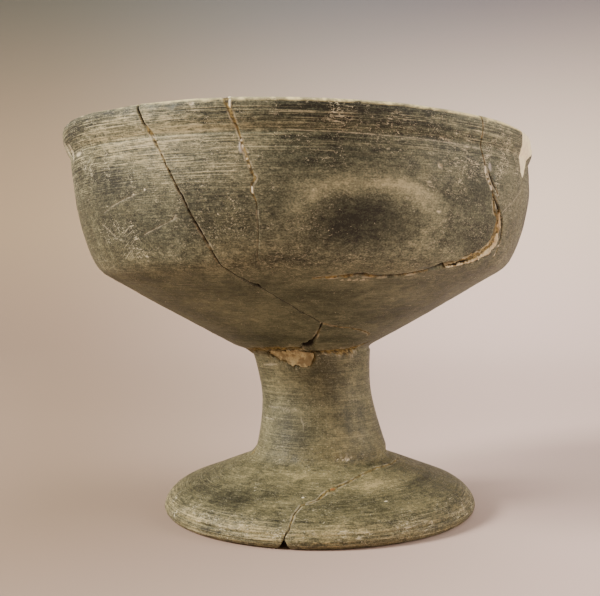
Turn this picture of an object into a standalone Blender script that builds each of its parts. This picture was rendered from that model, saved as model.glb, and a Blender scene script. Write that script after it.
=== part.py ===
"""A restored pedestal bowl of grey burnished pottery, at its real size.

Bowl, stem and foot are one hollow body of fired clay, thrown on a wheel. It stands on the ring under
its foot. The body leans a little, because it was broken and joined again: the bowl sits beside the
foot's axis and its rim slants. The restorer's fillings are pieces of their own, each let into the clay.
The origin is on the floor under the bowl's axis. +Z is up, -Y is the front, and lengths are metres.
"""
import math

import bmesh
import bpy
from mathutils import Vector

# Heights: the whole, and its parts from the floor up, of which the wall takes what is left
HEIGHT = 0.1267
FOOT_HEIGHT = 0.0210
STEM_HEIGHT = 0.0350
CONE_HEIGHT = 0.0273
WALL_HEIGHT = HEIGHT - FOOT_HEIGHT - STEM_HEIGHT - CONE_HEIGHT

# Outer radii, from the rim down
RIM_RADIUS = 0.0800
SHOULDER_RADIUS = 0.0702
JOINT_RADIUS = 0.0215
WAIST_RADIUS = 0.0192
STEM_BASE_RADIUS = 0.0230
FOOT_RADIUS = 0.0541

# Thickness of the clay
WALL_THICKNESS = 0.0050
CONE_THICKNESS = 0.0056
FLOOR_THICKNESS = 0.0075
STEM_THICKNESS = 0.0075
FOOT_THICKNESS = 0.0062

# The lip, a low band around the top of the wall
LIP_HEIGHT = 0.0075
LIP_PROUD = 0.0020
LIP_ROUND = 0.0019

# How far from their corners the rounded turns begin
SHOULDER_ROUND = 0.0040
INNER_ROUND = 0.0080
STEM_FILLET = 0.0030

# How far the cone under the bowl bulges below a straight line
CONE_BULGE = 0.0004

# Foot: its rolled edge, two turned grooves and the ring that it rests on
EDGE_HEIGHT = 0.0024
EDGE_ROLL = 0.0072
RING_INSET = 0.0025
RING_WIDTH = 0.0050
GROOVE_DEPTH = 0.0005
DOME_DROP = 0.0022

# How the body leans: stem and foot stand to the right of the bowl's axis, the rim drops to the right, its
# lip is pulled a little to the left, and the left end of the rim rises a little more
FOOT_OFFSET = 0.0050
STEM_BASE_OFFSET = 0.0060
STEM_TOP_OFFSET = 0.0028
STEP_HEIGHT = 0.0032
RIM_DROP = 0.0024
LIP_SHIFT = 0.0013
LEFT_RISE = 0.0009

# Breaks and fillings
CRACK_WIDTH = 0.0010
CRACK_DEPTH = 0.0010
CHIP_DEPTH = 0.0008
HOLE_DEPTH = 0.0030
FILLER_DEPTH = 0.0025
STEM_FILLER_DEPTH = 0.0018
CUTTER_RISE = 0.0015
FIT_GAP = 0.0003

SEGMENTS = 56
SHORT_STEP = 0.0006

# Shares of the stem's height and radius
WAIST_SHARE = 0.6
FLARE_SHARE = 0.7

# Heights above the floor that follow from the sizes above
JOINT_Z = FOOT_HEIGHT + STEM_HEIGHT
SHOULDER_Z = JOINT_Z + CONE_HEIGHT
RIM_Z = SHOULDER_Z + WALL_HEIGHT
WAIST_Z = FOOT_HEIGHT + WAIST_SHARE * STEM_HEIGHT
WALL_TOP_RADIUS = RIM_RADIUS - LIP_PROUD

# Each path is a list of (angle, level, width). The angle is in degrees around the axis from the front,
# positive to the right. The level is -2 at the floor, -1 at the stem's base, 0 at the joint of stem and
# bowl, 1 at the shoulder and 2 at the rim. The width is in crack widths.
LEFT_CRACK = [
    (-33.8, 2.04, 1), (-32.2, 1.89, 1.1), (-29.6, 1.70, 0.9), (-26.4, 1.49, 0.9),
    (-22.6, 1.24, 1), (-19.3, 1.00, 0.9), (-13.5, 0.80, 0.9), (-7.2, 0.64, 0.7),
    (-1.7, 0.51, 0.7), (5.0, 0.41, 0.7), (8.3, 0.355, 0.6)]
JOINT_HOLE = [
    (8.2, 0.35, 0.6), (7.0, 0.22, 0.8), (5.2, 0.14, 2.2), (2.6, 0.06, 2.6), (1.0, 0.03, 1)]
MIDDLE_CRACK = [
    (-13.6, 2.04, 1.4), (-12.6, 1.92, 1.1), (-11.4, 1.74, 0.8), (-10.0, 1.60, 0.7),
    (-9.4, 1.53, 0.8), (-10.0, 1.46, 0.7), (-9.2, 1.37, 0.6), (-9.1, 1.27, 0.5)]
RIGHT_CRACK = [
    (40.5, 2.04, 0.6), (41.2, 1.77, 0.6), (42.6, 1.64, 0.7), (44.8, 1.54, 0.8),
    (46.6, 1.44, 1), (49.2, 1.37, 1.2)]
SHOULDER_CRACK = [
    (36.5, 0.99, 1.2), (33.6, 0.965, 1), (30.0, 0.93, 0.9), (25.0, 0.89, 0.9),
    (19.5, 0.88, 0.9), (13.5, 0.89, 0.6)]
FOOT_CRACK = [
    (-12.2, -1.87, 0.9), (-11.4, -1.75, 0.7), (-10.4, -1.57, 0.7), (-8.3, -1.48, 0.7),
    (-2.3, -1.43, 0.7), (5.0, -1.34, 0.7), (14.0, -1.285, 0.7), (26.0, -1.225, 0.6)]
CRACKS = {
    "left_crack": LEFT_CRACK, "middle_crack": MIDDLE_CRACK, "right_crack": RIGHT_CRACK,
    "shoulder_crack": SHOULDER_CRACK, "foot_crack": FOOT_CRACK}
RIM_CHIPS = {
    "rim_chip_front": [(-54.6, 1.97, 0.8), (-53.3, 1.96, 2.2), (-52.0, 1.97, 0.8)],
    "rim_chip_side": [(-66.0, 1.98, 0.8), (-64.5, 1.97, 2), (-63.0, 1.98, 0.8)]}
CRACK_FILLER = [
    (49.4, 1.40, 1.4), (50.8, 1.33, 2.4), (51.8, 1.26, 3.4), (52.2, 1.19, 4.2),
    (51.3, 1.135, 4.2), (48.8, 1.10, 3.6), (45.5, 1.07, 3), (42.0, 1.035, 2.4),
    (38.5, 1.005, 1.8), (36.0, 0.99, 1.4)]
STEM_FILLER = [
    (-42.0, -0.031, 1.3), (-35.0, -0.036, 2.2), (-26.0, -0.051, 3.6),
    (-18.0, -0.066, 4.6), (-10.0, -0.066, 4.6), (-4.0, -0.051, 3.4), (1.5, -0.031, 1.4)]

# Outlines of cuts right through the clay, as (angle, level) points
RIM_GAP = [
    (58.5, 2.08), (59.4, 1.85), (60.1, 1.70), (61.6, 1.64),
    (65.8, 1.75), (70.0, 1.85), (78.0, 1.93), (86.0, 2.08)]
FOOT_NOTCH = [(-14.6, -2.06), (-12.3, -1.84), (-10.7, -2.06)]


def bend(start, corner, end, steps):
    """Points of a smooth bend that leaves start towards corner and arrives at end."""
    start, corner, end = Vector(start), Vector(corner), Vector(end)
    shares = [i / steps for i in range(steps + 1)]
    return [start.lerp(corner, t).lerp(corner.lerp(end, t), t) for t in shares]


def rounded(before, corner, after, size, steps):
    """Points that round a corner off, leaving its two sides at a distance from it."""
    before, corner, after = Vector(before), Vector(corner), Vector(after)
    start = corner + (before - corner).normalized() * size
    end = corner + (after - corner).normalized() * size
    return bend(start, corner, end, steps)


def stretch(height_from, height_to, radius_at, steps):
    """Points of an outline between two heights, where a formula gives the radius."""
    heights = [height_from + (height_to - height_from) * i / steps for i in range(steps + 1)]
    return [Vector((radius_at(z), z)) for z in heights]


def wall_radius(z):
    """Outer radius of the wall, which leaves the shoulder slanting and rises steeper to the lip."""
    share = (z - SHOULDER_Z) / (RIM_Z - LIP_HEIGHT - SHOULDER_Z)
    share = min(max(share, 0.0), 1.0)
    return SHOULDER_RADIUS + (WALL_TOP_RADIUS - SHOULDER_RADIUS) * (1 - (1 - share) ** 2.4)


def stem_radius(z):
    """Outer radius of the stem, slim at its waist and wider towards both ends."""
    if z > WAIST_Z:
        share = (z - WAIST_Z) / (JOINT_Z - WAIST_Z)
        return WAIST_RADIUS + FLARE_SHARE * (JOINT_RADIUS - WAIST_RADIUS) * share ** 1.5
    share = (WAIST_Z - z) / (WAIST_Z - FOOT_HEIGHT)
    return WAIST_RADIUS + (STEM_BASE_RADIUS - WAIST_RADIUS) * share ** 1.7


def cone_height(radius, thickness):
    """Height of the cone's underside at a radius, or of a surface at a thickness above it."""
    slope = CONE_HEIGHT / (SHOULDER_RADIUS - JOINT_RADIUS)
    return JOINT_Z + (radius - JOINT_RADIUS) * slope + thickness * math.hypot(1, slope)


def dome_height(radius):
    """Height of the foot's upper face at a radius."""
    roll_start = FOOT_RADIUS - EDGE_ROLL
    low, high = EDGE_HEIGHT + EDGE_ROLL, FOOT_HEIGHT - DOME_DROP
    return high + (low - high) * (radius - STEM_BASE_RADIUS) / (roll_start - STEM_BASE_RADIUS)


def outer_outline():
    """The outside as (radius, height) points, from the top of the lip down to the resting ring."""
    lip = bend((RIM_RADIUS - LIP_ROUND, RIM_Z), (RIM_RADIUS, RIM_Z), (RIM_RADIUS, RIM_Z - LIP_ROUND), 3)
    lip += [Vector((RIM_RADIUS - 0.2 * LIP_PROUD, RIM_Z - 0.7 * LIP_HEIGHT))]
    wall = stretch(RIM_Z - LIP_HEIGHT, SHOULDER_Z + 1.3 * SHOULDER_ROUND, wall_radius, 6)
    joint = (JOINT_RADIUS, JOINT_Z)
    shoulder = rounded(wall[-1], (SHOULDER_RADIUS, SHOULDER_Z), joint, SHOULDER_ROUND, 4)
    cone_middle = 0.6 * SHOULDER_RADIUS + 0.4 * JOINT_RADIUS
    cone = [Vector((cone_middle, cone_height(cone_middle, 0) - CONE_BULGE)), Vector(joint)]
    stem = stretch(JOINT_Z - 0.04 * STEM_HEIGHT, FOOT_HEIGHT, stem_radius, 7)
    corner = (STEM_BASE_RADIUS + 0.1 * STEM_FILLET, dome_height(STEM_BASE_RADIUS))
    fillet_end = STEM_BASE_RADIUS + STEM_FILLET
    fillet = bend(stem[-1], corner, (fillet_end, dome_height(fillet_end)), 3)[1:]
    return lip + wall + shoulder + cone + stem + fillet + foot_edge()


def foot_edge():
    """The foot's rolled edge with its two turned grooves, down to the outside of the resting ring."""
    roll_start = FOOT_RADIUS - EDGE_ROLL
    corner = Vector((FOOT_RADIUS - 0.1 * EDGE_ROLL, EDGE_HEIGHT + 0.65 * EDGE_ROLL))
    roll = bend((roll_start, dome_height(roll_start)), corner, (FOOT_RADIUS, EDGE_HEIGHT), 10)
    inward = Vector((-0.8, -0.6)) * GROOVE_DEPTH
    for groove in (6, 8):
        roll[groove] = roll[groove] + inward
    under = bend((FOOT_RADIUS, EDGE_HEIGHT), (FOOT_RADIUS - 0.1 * RING_INSET, 0.15 * EDGE_HEIGHT),
                 (FOOT_RADIUS - RING_INSET, 0), 2)
    return roll[:1] + roll[2:] + under[1:]


def inner_outline():
    """The underside from the resting ring to the top of the hollow stem, as (radius, height) points."""
    ring_inside = FOOT_RADIUS - RING_INSET - RING_WIDTH
    roof_start = ring_inside - 0.8 * RING_WIDTH
    roof_radii = [roof_start + (STEM_BASE_RADIUS - roof_start) * share for share in (0, 0.35, 0.7, 1)]
    roof = [Vector((radius, dome_height(radius) - FOOT_THICKNESS)) for radius in roof_radii]
    bore_base = STEM_BASE_RADIUS - STEM_THICKNESS
    bore_waist = WAIST_RADIUS - STEM_THICKNESS
    bore_top = cone_height(JOINT_RADIUS, CONE_THICKNESS) - FLOOR_THICKNESS
    bore = bend(roof[-1], (bore_base, 0.8 * FOOT_HEIGHT), (bore_waist, WAIST_Z), 3)[1:]
    crown = bend((bore_waist, bore_top - 0.5 * bore_waist), (bore_waist, bore_top), (0, bore_top), 3)
    return [Vector((ring_inside, 0))] + roof + bore + crown


def bowl_outline():
    """The inside of the bowl from its middle up to the top of the lip, as (radius, height) points."""
    floor_z = cone_height(0.92 * JOINT_RADIUS, CONE_THICKNESS)
    radius = SHOULDER_RADIUS - WALL_THICKNESS
    for step in range(12):
        radius = wall_radius(cone_height(radius, CONE_THICKNESS)) - WALL_THICKNESS
    corner = (radius, cone_height(radius, CONE_THICKNESS))
    cone_start = (1.4 * JOINT_RADIUS, cone_height(1.4 * JOINT_RADIUS, CONE_THICKNESS))
    floor = [Vector((0, floor_z))]
    floor += bend((0.6 * JOINT_RADIUS, floor_z), (JOINT_RADIUS, floor_z), cone_start, 2)
    wall_start = corner[1] + 1.25 * INNER_ROUND
    wall = stretch(wall_start, RIM_Z - LIP_HEIGHT, lambda z: wall_radius(z) - WALL_THICKNESS, 3)
    turn = rounded(cone_start, corner, wall[0], INNER_ROUND, 4)
    lip_inside = WALL_TOP_RADIUS - WALL_THICKNESS
    lip = bend((lip_inside, RIM_Z - LIP_ROUND), (lip_inside, RIM_Z), (lip_inside + LIP_ROUND, RIM_Z), 2)
    return floor + turn + wall + lip


def eased(share):
    """A share from 0 to 1 that starts and ends gently."""
    share = min(max(share, 0.0), 1.0)
    return share * share * (3 - 2 * share)


def axis_x(z):
    """How far to the right the body's own middle stands at a height."""
    stem_top = JOINT_Z - 0.5 * STEP_HEIGHT
    dome_top = FOOT_HEIGHT - DOME_DROP
    offset = FOOT_OFFSET + (STEM_BASE_OFFSET - FOOT_OFFSET) * eased((z - dome_top) / STEP_HEIGHT)
    share = min(max((z - FOOT_HEIGHT) / (stem_top - FOOT_HEIGHT), 0.0), 1.0)
    lean = (STEM_BASE_OFFSET - STEM_TOP_OFFSET) * share ** 1.4
    return offset - lean - STEM_TOP_OFFSET * eased((z - stem_top) / STEP_HEIGHT)


def leaned(point):
    """A point of the upright turned body, moved to where the leaning body has it."""
    upper = max(0.0, (point.z - SHOULDER_Z) / WALL_HEIGHT)
    drop = RIM_DROP * point.x / RIM_RADIUS * upper
    rise = LEFT_RISE * upper ** 2 * eased((-point.x / RIM_RADIUS - 0.6) / 0.27)
    shift = axis_x(point.z) - LIP_SHIFT * eased(2 * upper - 1)
    return Vector((point.x + shift, point.y, point.z - drop + rise))


def turned_body(name):
    """The whole body of clay without breaks: its outline spun about the axis, then leaned."""
    mesh = bpy.data.meshes.new(name)
    body = bmesh.new()
    outline = bowl_outline() + outer_outline() + inner_outline()
    ring = [body.verts.new((radius, 0, z)) for radius, z in outline]
    edges = [body.edges.new(pair) for pair in zip(ring, ring[1:])]
    bmesh.ops.spin(body, geom=ring + edges, cent=(0, 0, 0), axis=(0, 0, 1), angle=math.tau,
                   steps=SEGMENTS, use_merge=True, use_duplicate=False)
    bmesh.ops.remove_doubles(body, verts=body.verts, dist=0.000001)
    bmesh.ops.recalc_face_normals(body, faces=body.faces)
    for vertex in body.verts:
        vertex.co = leaned(vertex.co)
    bmesh.ops.triangulate(body, faces=body.faces)
    body.to_mesh(mesh)
    body.free()
    mesh.shade_smooth()
    mesh.set_sharp_from_angle(angle=math.radians(40))
    return mesh


def height_of(level):
    """Height above the floor of a level, which counts 1 for each of the body's four parts."""
    if level < -1:
        return (level + 2) * FOOT_HEIGHT
    if level < 0:
        return FOOT_HEIGHT + (level + 1) * STEM_HEIGHT
    if level < 1:
        return JOINT_Z + level * CONE_HEIGHT
    return SHOULDER_Z + (level - 1) * WALL_HEIGHT


def outer_radius(z):
    """Radius of the outside at a height, read from the outline."""
    outline = outer_outline()
    for above, below in zip(outline, outline[1:]):
        if below.y <= z <= above.y:
            return below.x + (above.x - below.x) * (z - below.y) / max(above.y - below.y, 0.000001)
    return outline[0].x if z > RIM_Z else outline[-1].x


def around(angle, radius, z):
    """The point at an angle from the front, a radius and a height, on the leaning body."""
    turn = math.radians(angle)
    return leaned(Vector((radius * math.sin(turn), -radius * math.cos(turn), z)))


def skin(angle, level):
    """A point on the outside, and the direction that points straight out of the clay there."""
    z = height_of(level)
    slope = (outer_radius(z + SHORT_STEP) - outer_radius(z - SHORT_STEP)) / (2 * SHORT_STEP)
    point = around(angle, outer_radius(z), z)
    outer = around(angle, outer_radius(z) + SHORT_STEP, z - slope * SHORT_STEP)
    return point, (outer - point).normalized()


def solid_from(name, rings):
    """A closed mesh through rings of points, with the first and the last ring capped."""
    mesh = bpy.data.meshes.new(name)
    shell = bmesh.new()
    loops = [[shell.verts.new(point) for point in ring] for ring in rings]
    for low, high in zip(loops, loops[1:]):
        for i in range(len(low)):
            j = (i + 1) % len(low)
            shell.faces.new((low[i], low[j], high[j], high[i]))
    shell.faces.new(loops[0][::-1])
    shell.faces.new(loops[-1])
    bmesh.ops.recalc_face_normals(shell, faces=shell.faces)
    bmesh.ops.triangulate(shell, faces=shell.faces)
    shell.to_mesh(mesh)
    shell.free()
    return mesh


def halved(path):
    """The path with a point added halfway along each of its steps."""
    middles = [tuple((a + b) / 2 for a, b in zip(first, second)) for first, second in zip(path, path[1:])]
    return [point for pair in zip(path, middles) for point in pair] + [path[-1]]


def channel(name, path, depth, floor_share, shrink=0.0):
    """A trough along a path on the outside, shrunk on all its buried sides where it is a filling."""
    rings = []
    stations = [(*skin(angle, level), width) for angle, level, width in halved(path)]
    places = [station[0] for station in stations]
    for i, (point, out, width) in enumerate(stations):
        along = (places[min(i + 1, len(places) - 1)] - places[max(i - 1, 0)]).normalized()
        if i in (0, len(places) - 1):
            point = point + along * (shrink if i == 0 else -shrink)
        side = along.cross(out).normalized() * (width * CRACK_WIDTH / 2 - shrink)
        top = point + out * CUTTER_RISE
        floor = point - out * (depth - shrink)
        rings.append([top + side, top - side, floor - side * floor_share, floor + side * floor_share])
    return solid_from(name, rings)


def inset(outline, distance):
    """An outline that runs anticlockwise on the unrolled wall, with each of its sides moved inwards."""
    corners = []
    for before, here, after in zip([outline[-1]] + outline, outline, outline[1:] + outline[:1]):
        sides = [(here - before).normalized(), (after - here).normalized()]
        first, second = [Vector((-side.y, side.x)) for side in sides]
        corners.append(here + (first + second) * distance / (1 + first.dot(second)))
    return corners


def block(name, outline, inner, outer, shrink=0.0):
    """A cut through the clay: an outline of (angle, level) points between two radii."""
    unrolled = [Vector((math.radians(angle) * outer, height_of(level))) for angle, level in outline]
    unrolled = inset(unrolled, shrink)
    rings = []
    for radius in (inner, outer):
        rings.append([around(math.degrees(point.x / outer), radius, point.y) for point in unrolled])
    return solid_from(name, rings)


def clay(name, color, roughness):
    """A matt material with a plain colour, for fired clay and for the restorer's fillings."""
    material = bpy.data.materials.new(name)
    material.use_nodes = True
    shader = material.node_tree.nodes["Principled BSDF"]
    shader.inputs["Base Color"].default_value = (*color, 1)
    shader.inputs["Roughness"].default_value = roughness
    shader.inputs["Metallic"].default_value = 0
    material.diffuse_color = (*color, 1)
    return material


def add_object(name, mesh, parent, material=None):
    """An object standing on the bowl's origin. One without a material is a cutter, which isn't built."""
    thing = bpy.data.objects.new(name, mesh)
    thing.parent = parent
    bpy.context.scene.collection.objects.link(thing)
    if material:
        mesh.materials.append(material)
    else:
        thing.hide_render = True
        thing.display_type = "WIRE"
    return thing


def combine(thing, operand, operation):
    """Cut an object with another, or keep only what they share."""
    modifier = thing.modifiers.new(operand.name, "BOOLEAN")
    modifier.operation = operation
    modifier.solver = "EXACT"
    modifier.object = operand


def add_vessel(base):
    """The clay body with its gaps, cracks, chips and the seats of the fillings cut into it."""
    grey = clay("burnished_clay", (0.17, 0.15, 0.12), 0.55)
    vessel = add_object("vessel", turned_body("vessel"), base, grey)
    cuts = [block("rim_gap", RIM_GAP, 0.6 * RIM_RADIUS, 1.2 * RIM_RADIUS),
            block("foot_notch", FOOT_NOTCH, FOOT_RADIUS - 1.6 * RING_WIDTH - RING_INSET, 1.1 * FOOT_RADIUS),
            channel("crack_seat", CRACK_FILLER, FILLER_DEPTH, 0.8),
            channel("stem_seat", STEM_FILLER, STEM_FILLER_DEPTH, 0.8),
            channel("joint_hole", JOINT_HOLE, HOLE_DEPTH, 0.4)]
    cuts += [channel(name, path, CRACK_DEPTH, 0.15) for name, path in CRACKS.items()]
    cuts += [channel(name, path, CHIP_DEPTH, 0.3) for name, path in RIM_CHIPS.items()]
    for mesh in cuts:
        combine(vessel, add_object(mesh.name, mesh, base), "DIFFERENCE")


def add_filling(name, shape, base, color):
    """A filling: the part of the unbroken body that lies within a shape."""
    filling = add_object(name, turned_body(name), base, clay(name, color, 0.85))
    combine(filling, add_object(name + "_shape", shape, base), "INTERSECT")


def main():
    for thing in list(bpy.data.objects):
        bpy.data.objects.remove(thing, do_unlink=True)
    base = bpy.data.objects.new("pedestal_bowl", None)
    bpy.context.scene.collection.objects.link(base)
    add_vessel(base)
    white, tan, beige = (0.78, 0.70, 0.58), (0.52, 0.38, 0.22), (0.55, 0.42, 0.28)
    rim_shape = block("rim_fill_shape", RIM_GAP, 0.6 * RIM_RADIUS, 1.2 * RIM_RADIUS, FIT_GAP)
    crack_shape = channel("crack_fill_shape", CRACK_FILLER, FILLER_DEPTH, 0.8, FIT_GAP)
    stem_shape = channel("stem_fill_shape", STEM_FILLER, STEM_FILLER_DEPTH, 0.8, FIT_GAP)
    add_filling("rim_fill", rim_shape, base, white)
    add_filling("crack_fill", crack_shape, base, tan)
    add_filling("stem_fill", stem_shape, base, beige)


main()
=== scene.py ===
"""Looks of a restored pedestal bowl of grey burnished pottery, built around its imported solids.

The clay body is one fine mesh: its outline is turned about the axis, and the wheel marks, cracks, chips
and nicks are worked into it. The white plaster at the rim, the tan filler in the wide crack and the beige
filler on the stem are pieces of their own. Lengths are in metres. A place on the body is given as an angle
from the front in degrees, positive to the right, and a height in millimetres above the floor.
"""
import itertools
import math
from functools import lru_cache
from types import SimpleNamespace

import bmesh
import bpy
import numpy as np
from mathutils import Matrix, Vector
from mathutils.geometry import delaunay_2d_cdt


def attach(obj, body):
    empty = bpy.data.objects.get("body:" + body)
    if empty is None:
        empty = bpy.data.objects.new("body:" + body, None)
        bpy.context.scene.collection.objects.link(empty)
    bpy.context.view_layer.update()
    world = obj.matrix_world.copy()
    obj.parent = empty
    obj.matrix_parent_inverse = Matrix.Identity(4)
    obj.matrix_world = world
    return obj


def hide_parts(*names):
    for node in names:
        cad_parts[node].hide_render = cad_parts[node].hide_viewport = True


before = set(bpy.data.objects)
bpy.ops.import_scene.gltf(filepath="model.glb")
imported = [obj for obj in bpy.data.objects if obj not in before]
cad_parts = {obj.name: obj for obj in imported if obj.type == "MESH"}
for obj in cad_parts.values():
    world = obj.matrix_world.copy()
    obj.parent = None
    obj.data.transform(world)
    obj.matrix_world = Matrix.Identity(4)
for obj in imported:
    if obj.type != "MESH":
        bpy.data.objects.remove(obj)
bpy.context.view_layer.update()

bl_info = {
    "name": "Restored pedestal bowl",
    "version": (1, 0, 0),
    "blender": (4, 5, 0),
    "location": "3D View > Sidebar > Pedestal bowl",
    "description": "Dresses the solids of a restored pedestal bowl as burnished pottery",
    "category": "Object",
}

MM = 0.001

# Sizes of the clay body, the same as the solids have
HEIGHT = 0.1267
FOOT_HEIGHT = 0.0210
STEM_HEIGHT = 0.0350
CONE_HEIGHT = 0.0273
WALL_HEIGHT = HEIGHT - FOOT_HEIGHT - STEM_HEIGHT - CONE_HEIGHT
RIM_RADIUS = 0.0800
SHOULDER_RADIUS = 0.0702
JOINT_RADIUS = 0.0215
WAIST_RADIUS = 0.0192
STEM_BASE_RADIUS = 0.0230
FOOT_RADIUS = 0.0541
WALL_THICKNESS = 0.0050
CONE_THICKNESS = 0.0056
FLOOR_THICKNESS = 0.0075
STEM_THICKNESS = 0.0075
FOOT_THICKNESS = 0.0062
LIP_HEIGHT = 0.0075
LIP_PROUD = 0.0020
LIP_ROUND = 0.0019
SHOULDER_ROUND = 0.0040
INNER_ROUND = 0.0080
STEM_FILLET = 0.0030
CONE_BULGE = 0.0004
EDGE_HEIGHT = 0.0024
EDGE_ROLL = 0.0072
RING_INSET = 0.0025
RING_WIDTH = 0.0050
DOME_DROP = 0.0022
FOOT_OFFSET = 0.0050
STEM_BASE_OFFSET = 0.0060
STEM_TOP_OFFSET = 0.0028
STEP_HEIGHT = 0.0032
RIM_DROP = 0.0024
LIP_SHIFT = 0.0013
LEFT_RISE = 0.0009
WAIST_SHARE = 0.6
FLARE_SHARE = 0.7
JOINT_Z = FOOT_HEIGHT + STEM_HEIGHT
SHOULDER_Z = JOINT_Z + CONE_HEIGHT
RIM_Z = SHOULDER_Z + WALL_HEIGHT
WAIST_Z = FOOT_HEIGHT + WAIST_SHARE * STEM_HEIGHT
WALL_TOP_RADIUS = RIM_RADIUS - LIP_PROUD

# Cracks: points of (angle, height, width in mm, share filled with glue, share chalked white). A share that
# is left out is nought.
CRACKS = {
    "left": [
        (-33.6, 127.5, 0.5), (-33.2, 125.4, 0.5, 0.1), (-32.4, 122.4, 0.65, 0.1), (-31.8, 120.6, 0.75, 0.7),
        (-31.4, 119.1, 1.1, 1, 0.3), (-30.8, 117.2, 0.8, 1, 0.1), (-29.9, 114.9, 0.6, 0.8, 0.1),
        (-28.6, 110.4, 0.45, 0.5, 0.1), (-26.6, 105, 0.45, 0.35), (-24.9, 100.2, 0.45, 0.25, 0.1),
        (-23.2, 95.2, 0.5, 0.3, 0.2), (-21.6, 90.9, 0.55, 0.35, 0.25), (-20.5, 88, 0.55, 0.4, 0.3),
        (-19.3, 83.5, 0.45, 0.1), (-17.5, 81.3, 0.45), (-16.7, 80.4, 0.5), (-13.9, 78.2, 0.9),
        (-12.7, 77.6, 1.4), (-12.2, 77.2, 0.5), (-10.8, 76.2, 0.32), (-7.2, 73.5, 0.3), (-1.7, 70, 0.3),
        (5, 67.1, 0.28), (8.3, 66, 0.35), (7.9, 64, 0.45, 0.3), (7.2, 62.2, 0.6, 0.8),
        (6.6, 60.6, 0.8, 0.3)],
    "left_branch": [
        (8.3, 66, 0.3, 0.6), (12.5, 65.2, 0.3, 0.9), (17.7, 64.6, 0.4, 1), (24, 64.1, 0.35, 0.8),
        (29.6, 63.4, 0.55, 1), (35, 62.7, 0.4, 0.9), (42, 61.6, 0.25, 0.8)],
    "middle": [
        (-13.7, 127.5, 1.3, 1), (-13.5, 126.2, 1.2, 1), (-12.9, 123.8, 0.9, 1), (-12.5, 121.6, 0.8, 1),
        (-12, 119.2, 0.6, 1), (-11.5, 116.8, 0.5, 1, 0.1), (-11.3, 114, 0.6, 0.8, 0.3),
        (-10.7, 111.7, 0.6, 0.8, 0.4), (-10.2, 109.4, 0.6, 1, 0.1), (-9.9, 107, 0.6, 1),
        (-9.3, 106, 0.7, 1, 0.1), (-10, 104.2, 0.5, 0.8, 0.3), (-10.2, 102.5, 0.5, 0.8, 0.5),
        (-9.4, 100.6, 0.3, 0.9, 0.2), (-9.2, 98, 0.15, 0.7), (-9.2, 95.4, 0.1, 0.25), (-9.4, 91, 0.08, 0.2),
        (-9.8, 87, 0.1, 0.25), (-10.1, 82, 0.08, 0.2)],
    "right": [
        (40.5, 127, 0.2, 0.9, 0.1), (40.9, 120.6, 0.2, 0.9), (41.5, 117, 0.2, 0.7),
        (42.2, 113.6, 0.3, 0.5, 0.1), (42.6, 111.3, 0.6, 0.6, 0.4), (42.9, 109.6, 0.6, 0.7, 0.3),
        (44.2, 107.4, 0.5, 0.6, 0.2), (45.2, 105.6, 0.6, 0.6, 0.3), (46.2, 104, 0.6, 0.5, 0.3),
        (47.4, 102.6, 0.6, 0.4, 0.1), (48.9, 100.6, 0.6, 0.1), (50.6, 98.6, 0.65), (52.2, 96.6, 0.65),
        (53.4, 94, 0.65), (54.2, 91.4, 0.6, 0.1, 0.1), (54.8, 88.6, 0.5, 0.6, 0.4),
        (54.6, 86.8, 0.3, 0.8, 0.6)],
    "right_twin": [
        (43.6, 110.6, 0.3, 0.3, 0.2), (44.4, 109, 0.35, 0.2, 0.1), (45.6, 107.2, 0.35, 0.2),
        (46.9, 105.6, 0.35, 0.3, 0.2), (48.4, 103.8, 0.3, 0.5, 0.4)],
    "right_inner": [
        (46, 104, 0.5, 0.8, 0.4), (46.8, 101.8, 0.7, 0.9, 0.2), (47.6, 99.6, 0.9, 1), (48.8, 98.2, 0.9, 1)],
    "shoulder": [
        (37.6, 83.6, 1.1, 0.2), (34.8, 83, 1.4), (33, 82.3, 1.1), (31, 81.6, 0.8, 0.5),
        (26.6, 80.6, 0.8, 0.6), (23, 80.1, 1, 0.3), (19.5, 80, 1, 0.5), (16.8, 80.1, 0.9, 0.8),
        (14.6, 80.5, 1.3, 0.1), (12.2, 80.3, 1.1, 0.7), (8, 79.9, 0.8, 0.9), (3, 79.6, 0.5, 0.9, 0.1)],
    "foot": [
        (-12.2, 3, 0.6), (-12, 4.5, 0.4, 0.2), (-10.9, 5.7, 0.4, 0.7, 0.1), (-10.6, 7.5, 0.35, 0.7),
        (-10.4, 9.1, 0.4, 0.8, 0.1), (-8.3, 10.9, 0.4, 0.8, 0.2), (-2.3, 11.9, 0.4, 0.9, 0.1),
        (2.4, 13.4, 0.8, 1, 0.1), (5, 13.8, 1, 1, 0.1), (9, 14.4, 0.8, 1), (14, 15, 0.6, 1),
        (26.2, 16.3, 0.5, 1), (42.2, 17.1, 0.5, 1), (71.2, 17, 0.4, 0.9), (100, 16.8, 0.3, 0.8)],
    "joint_left": [
        (-86, 55.4, 1, 0.9), (-62, 55.9, 2, 1), (-48, 56.5, 2.7, 1), (-37.4, 56.9, 3, 1), (-26.3, 57, 3, 1),
        (-13.8, 57.1, 2.8, 1), (-4, 57.2, 2.4, 0.9)],
    "joint_right": [
        (4.5, 56.2, 0.9, 0.5), (11.1, 55.8, 1.6, 1), (22.9, 55.7, 2.3, 1), (31, 55.6, 2.9, 1),
        (39.4, 56, 2.9, 1), (46.7, 56.9, 2.2, 1), (54, 58.2, 1, 0.9)],
    "joint_hole": [
        (6.3, 60.6, 0.9), (5.2, 59.6, 2.2), (3.8, 58.7, 4.2), (2.4, 57.9, 4.6), (0.2, 57.5, 2.4),
        (-2.8, 57.4, 0.7)],
}

# How much wider the cracks are drawn than listed, as their edges are worn
CRACK_WIDTH = 1.4

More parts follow.
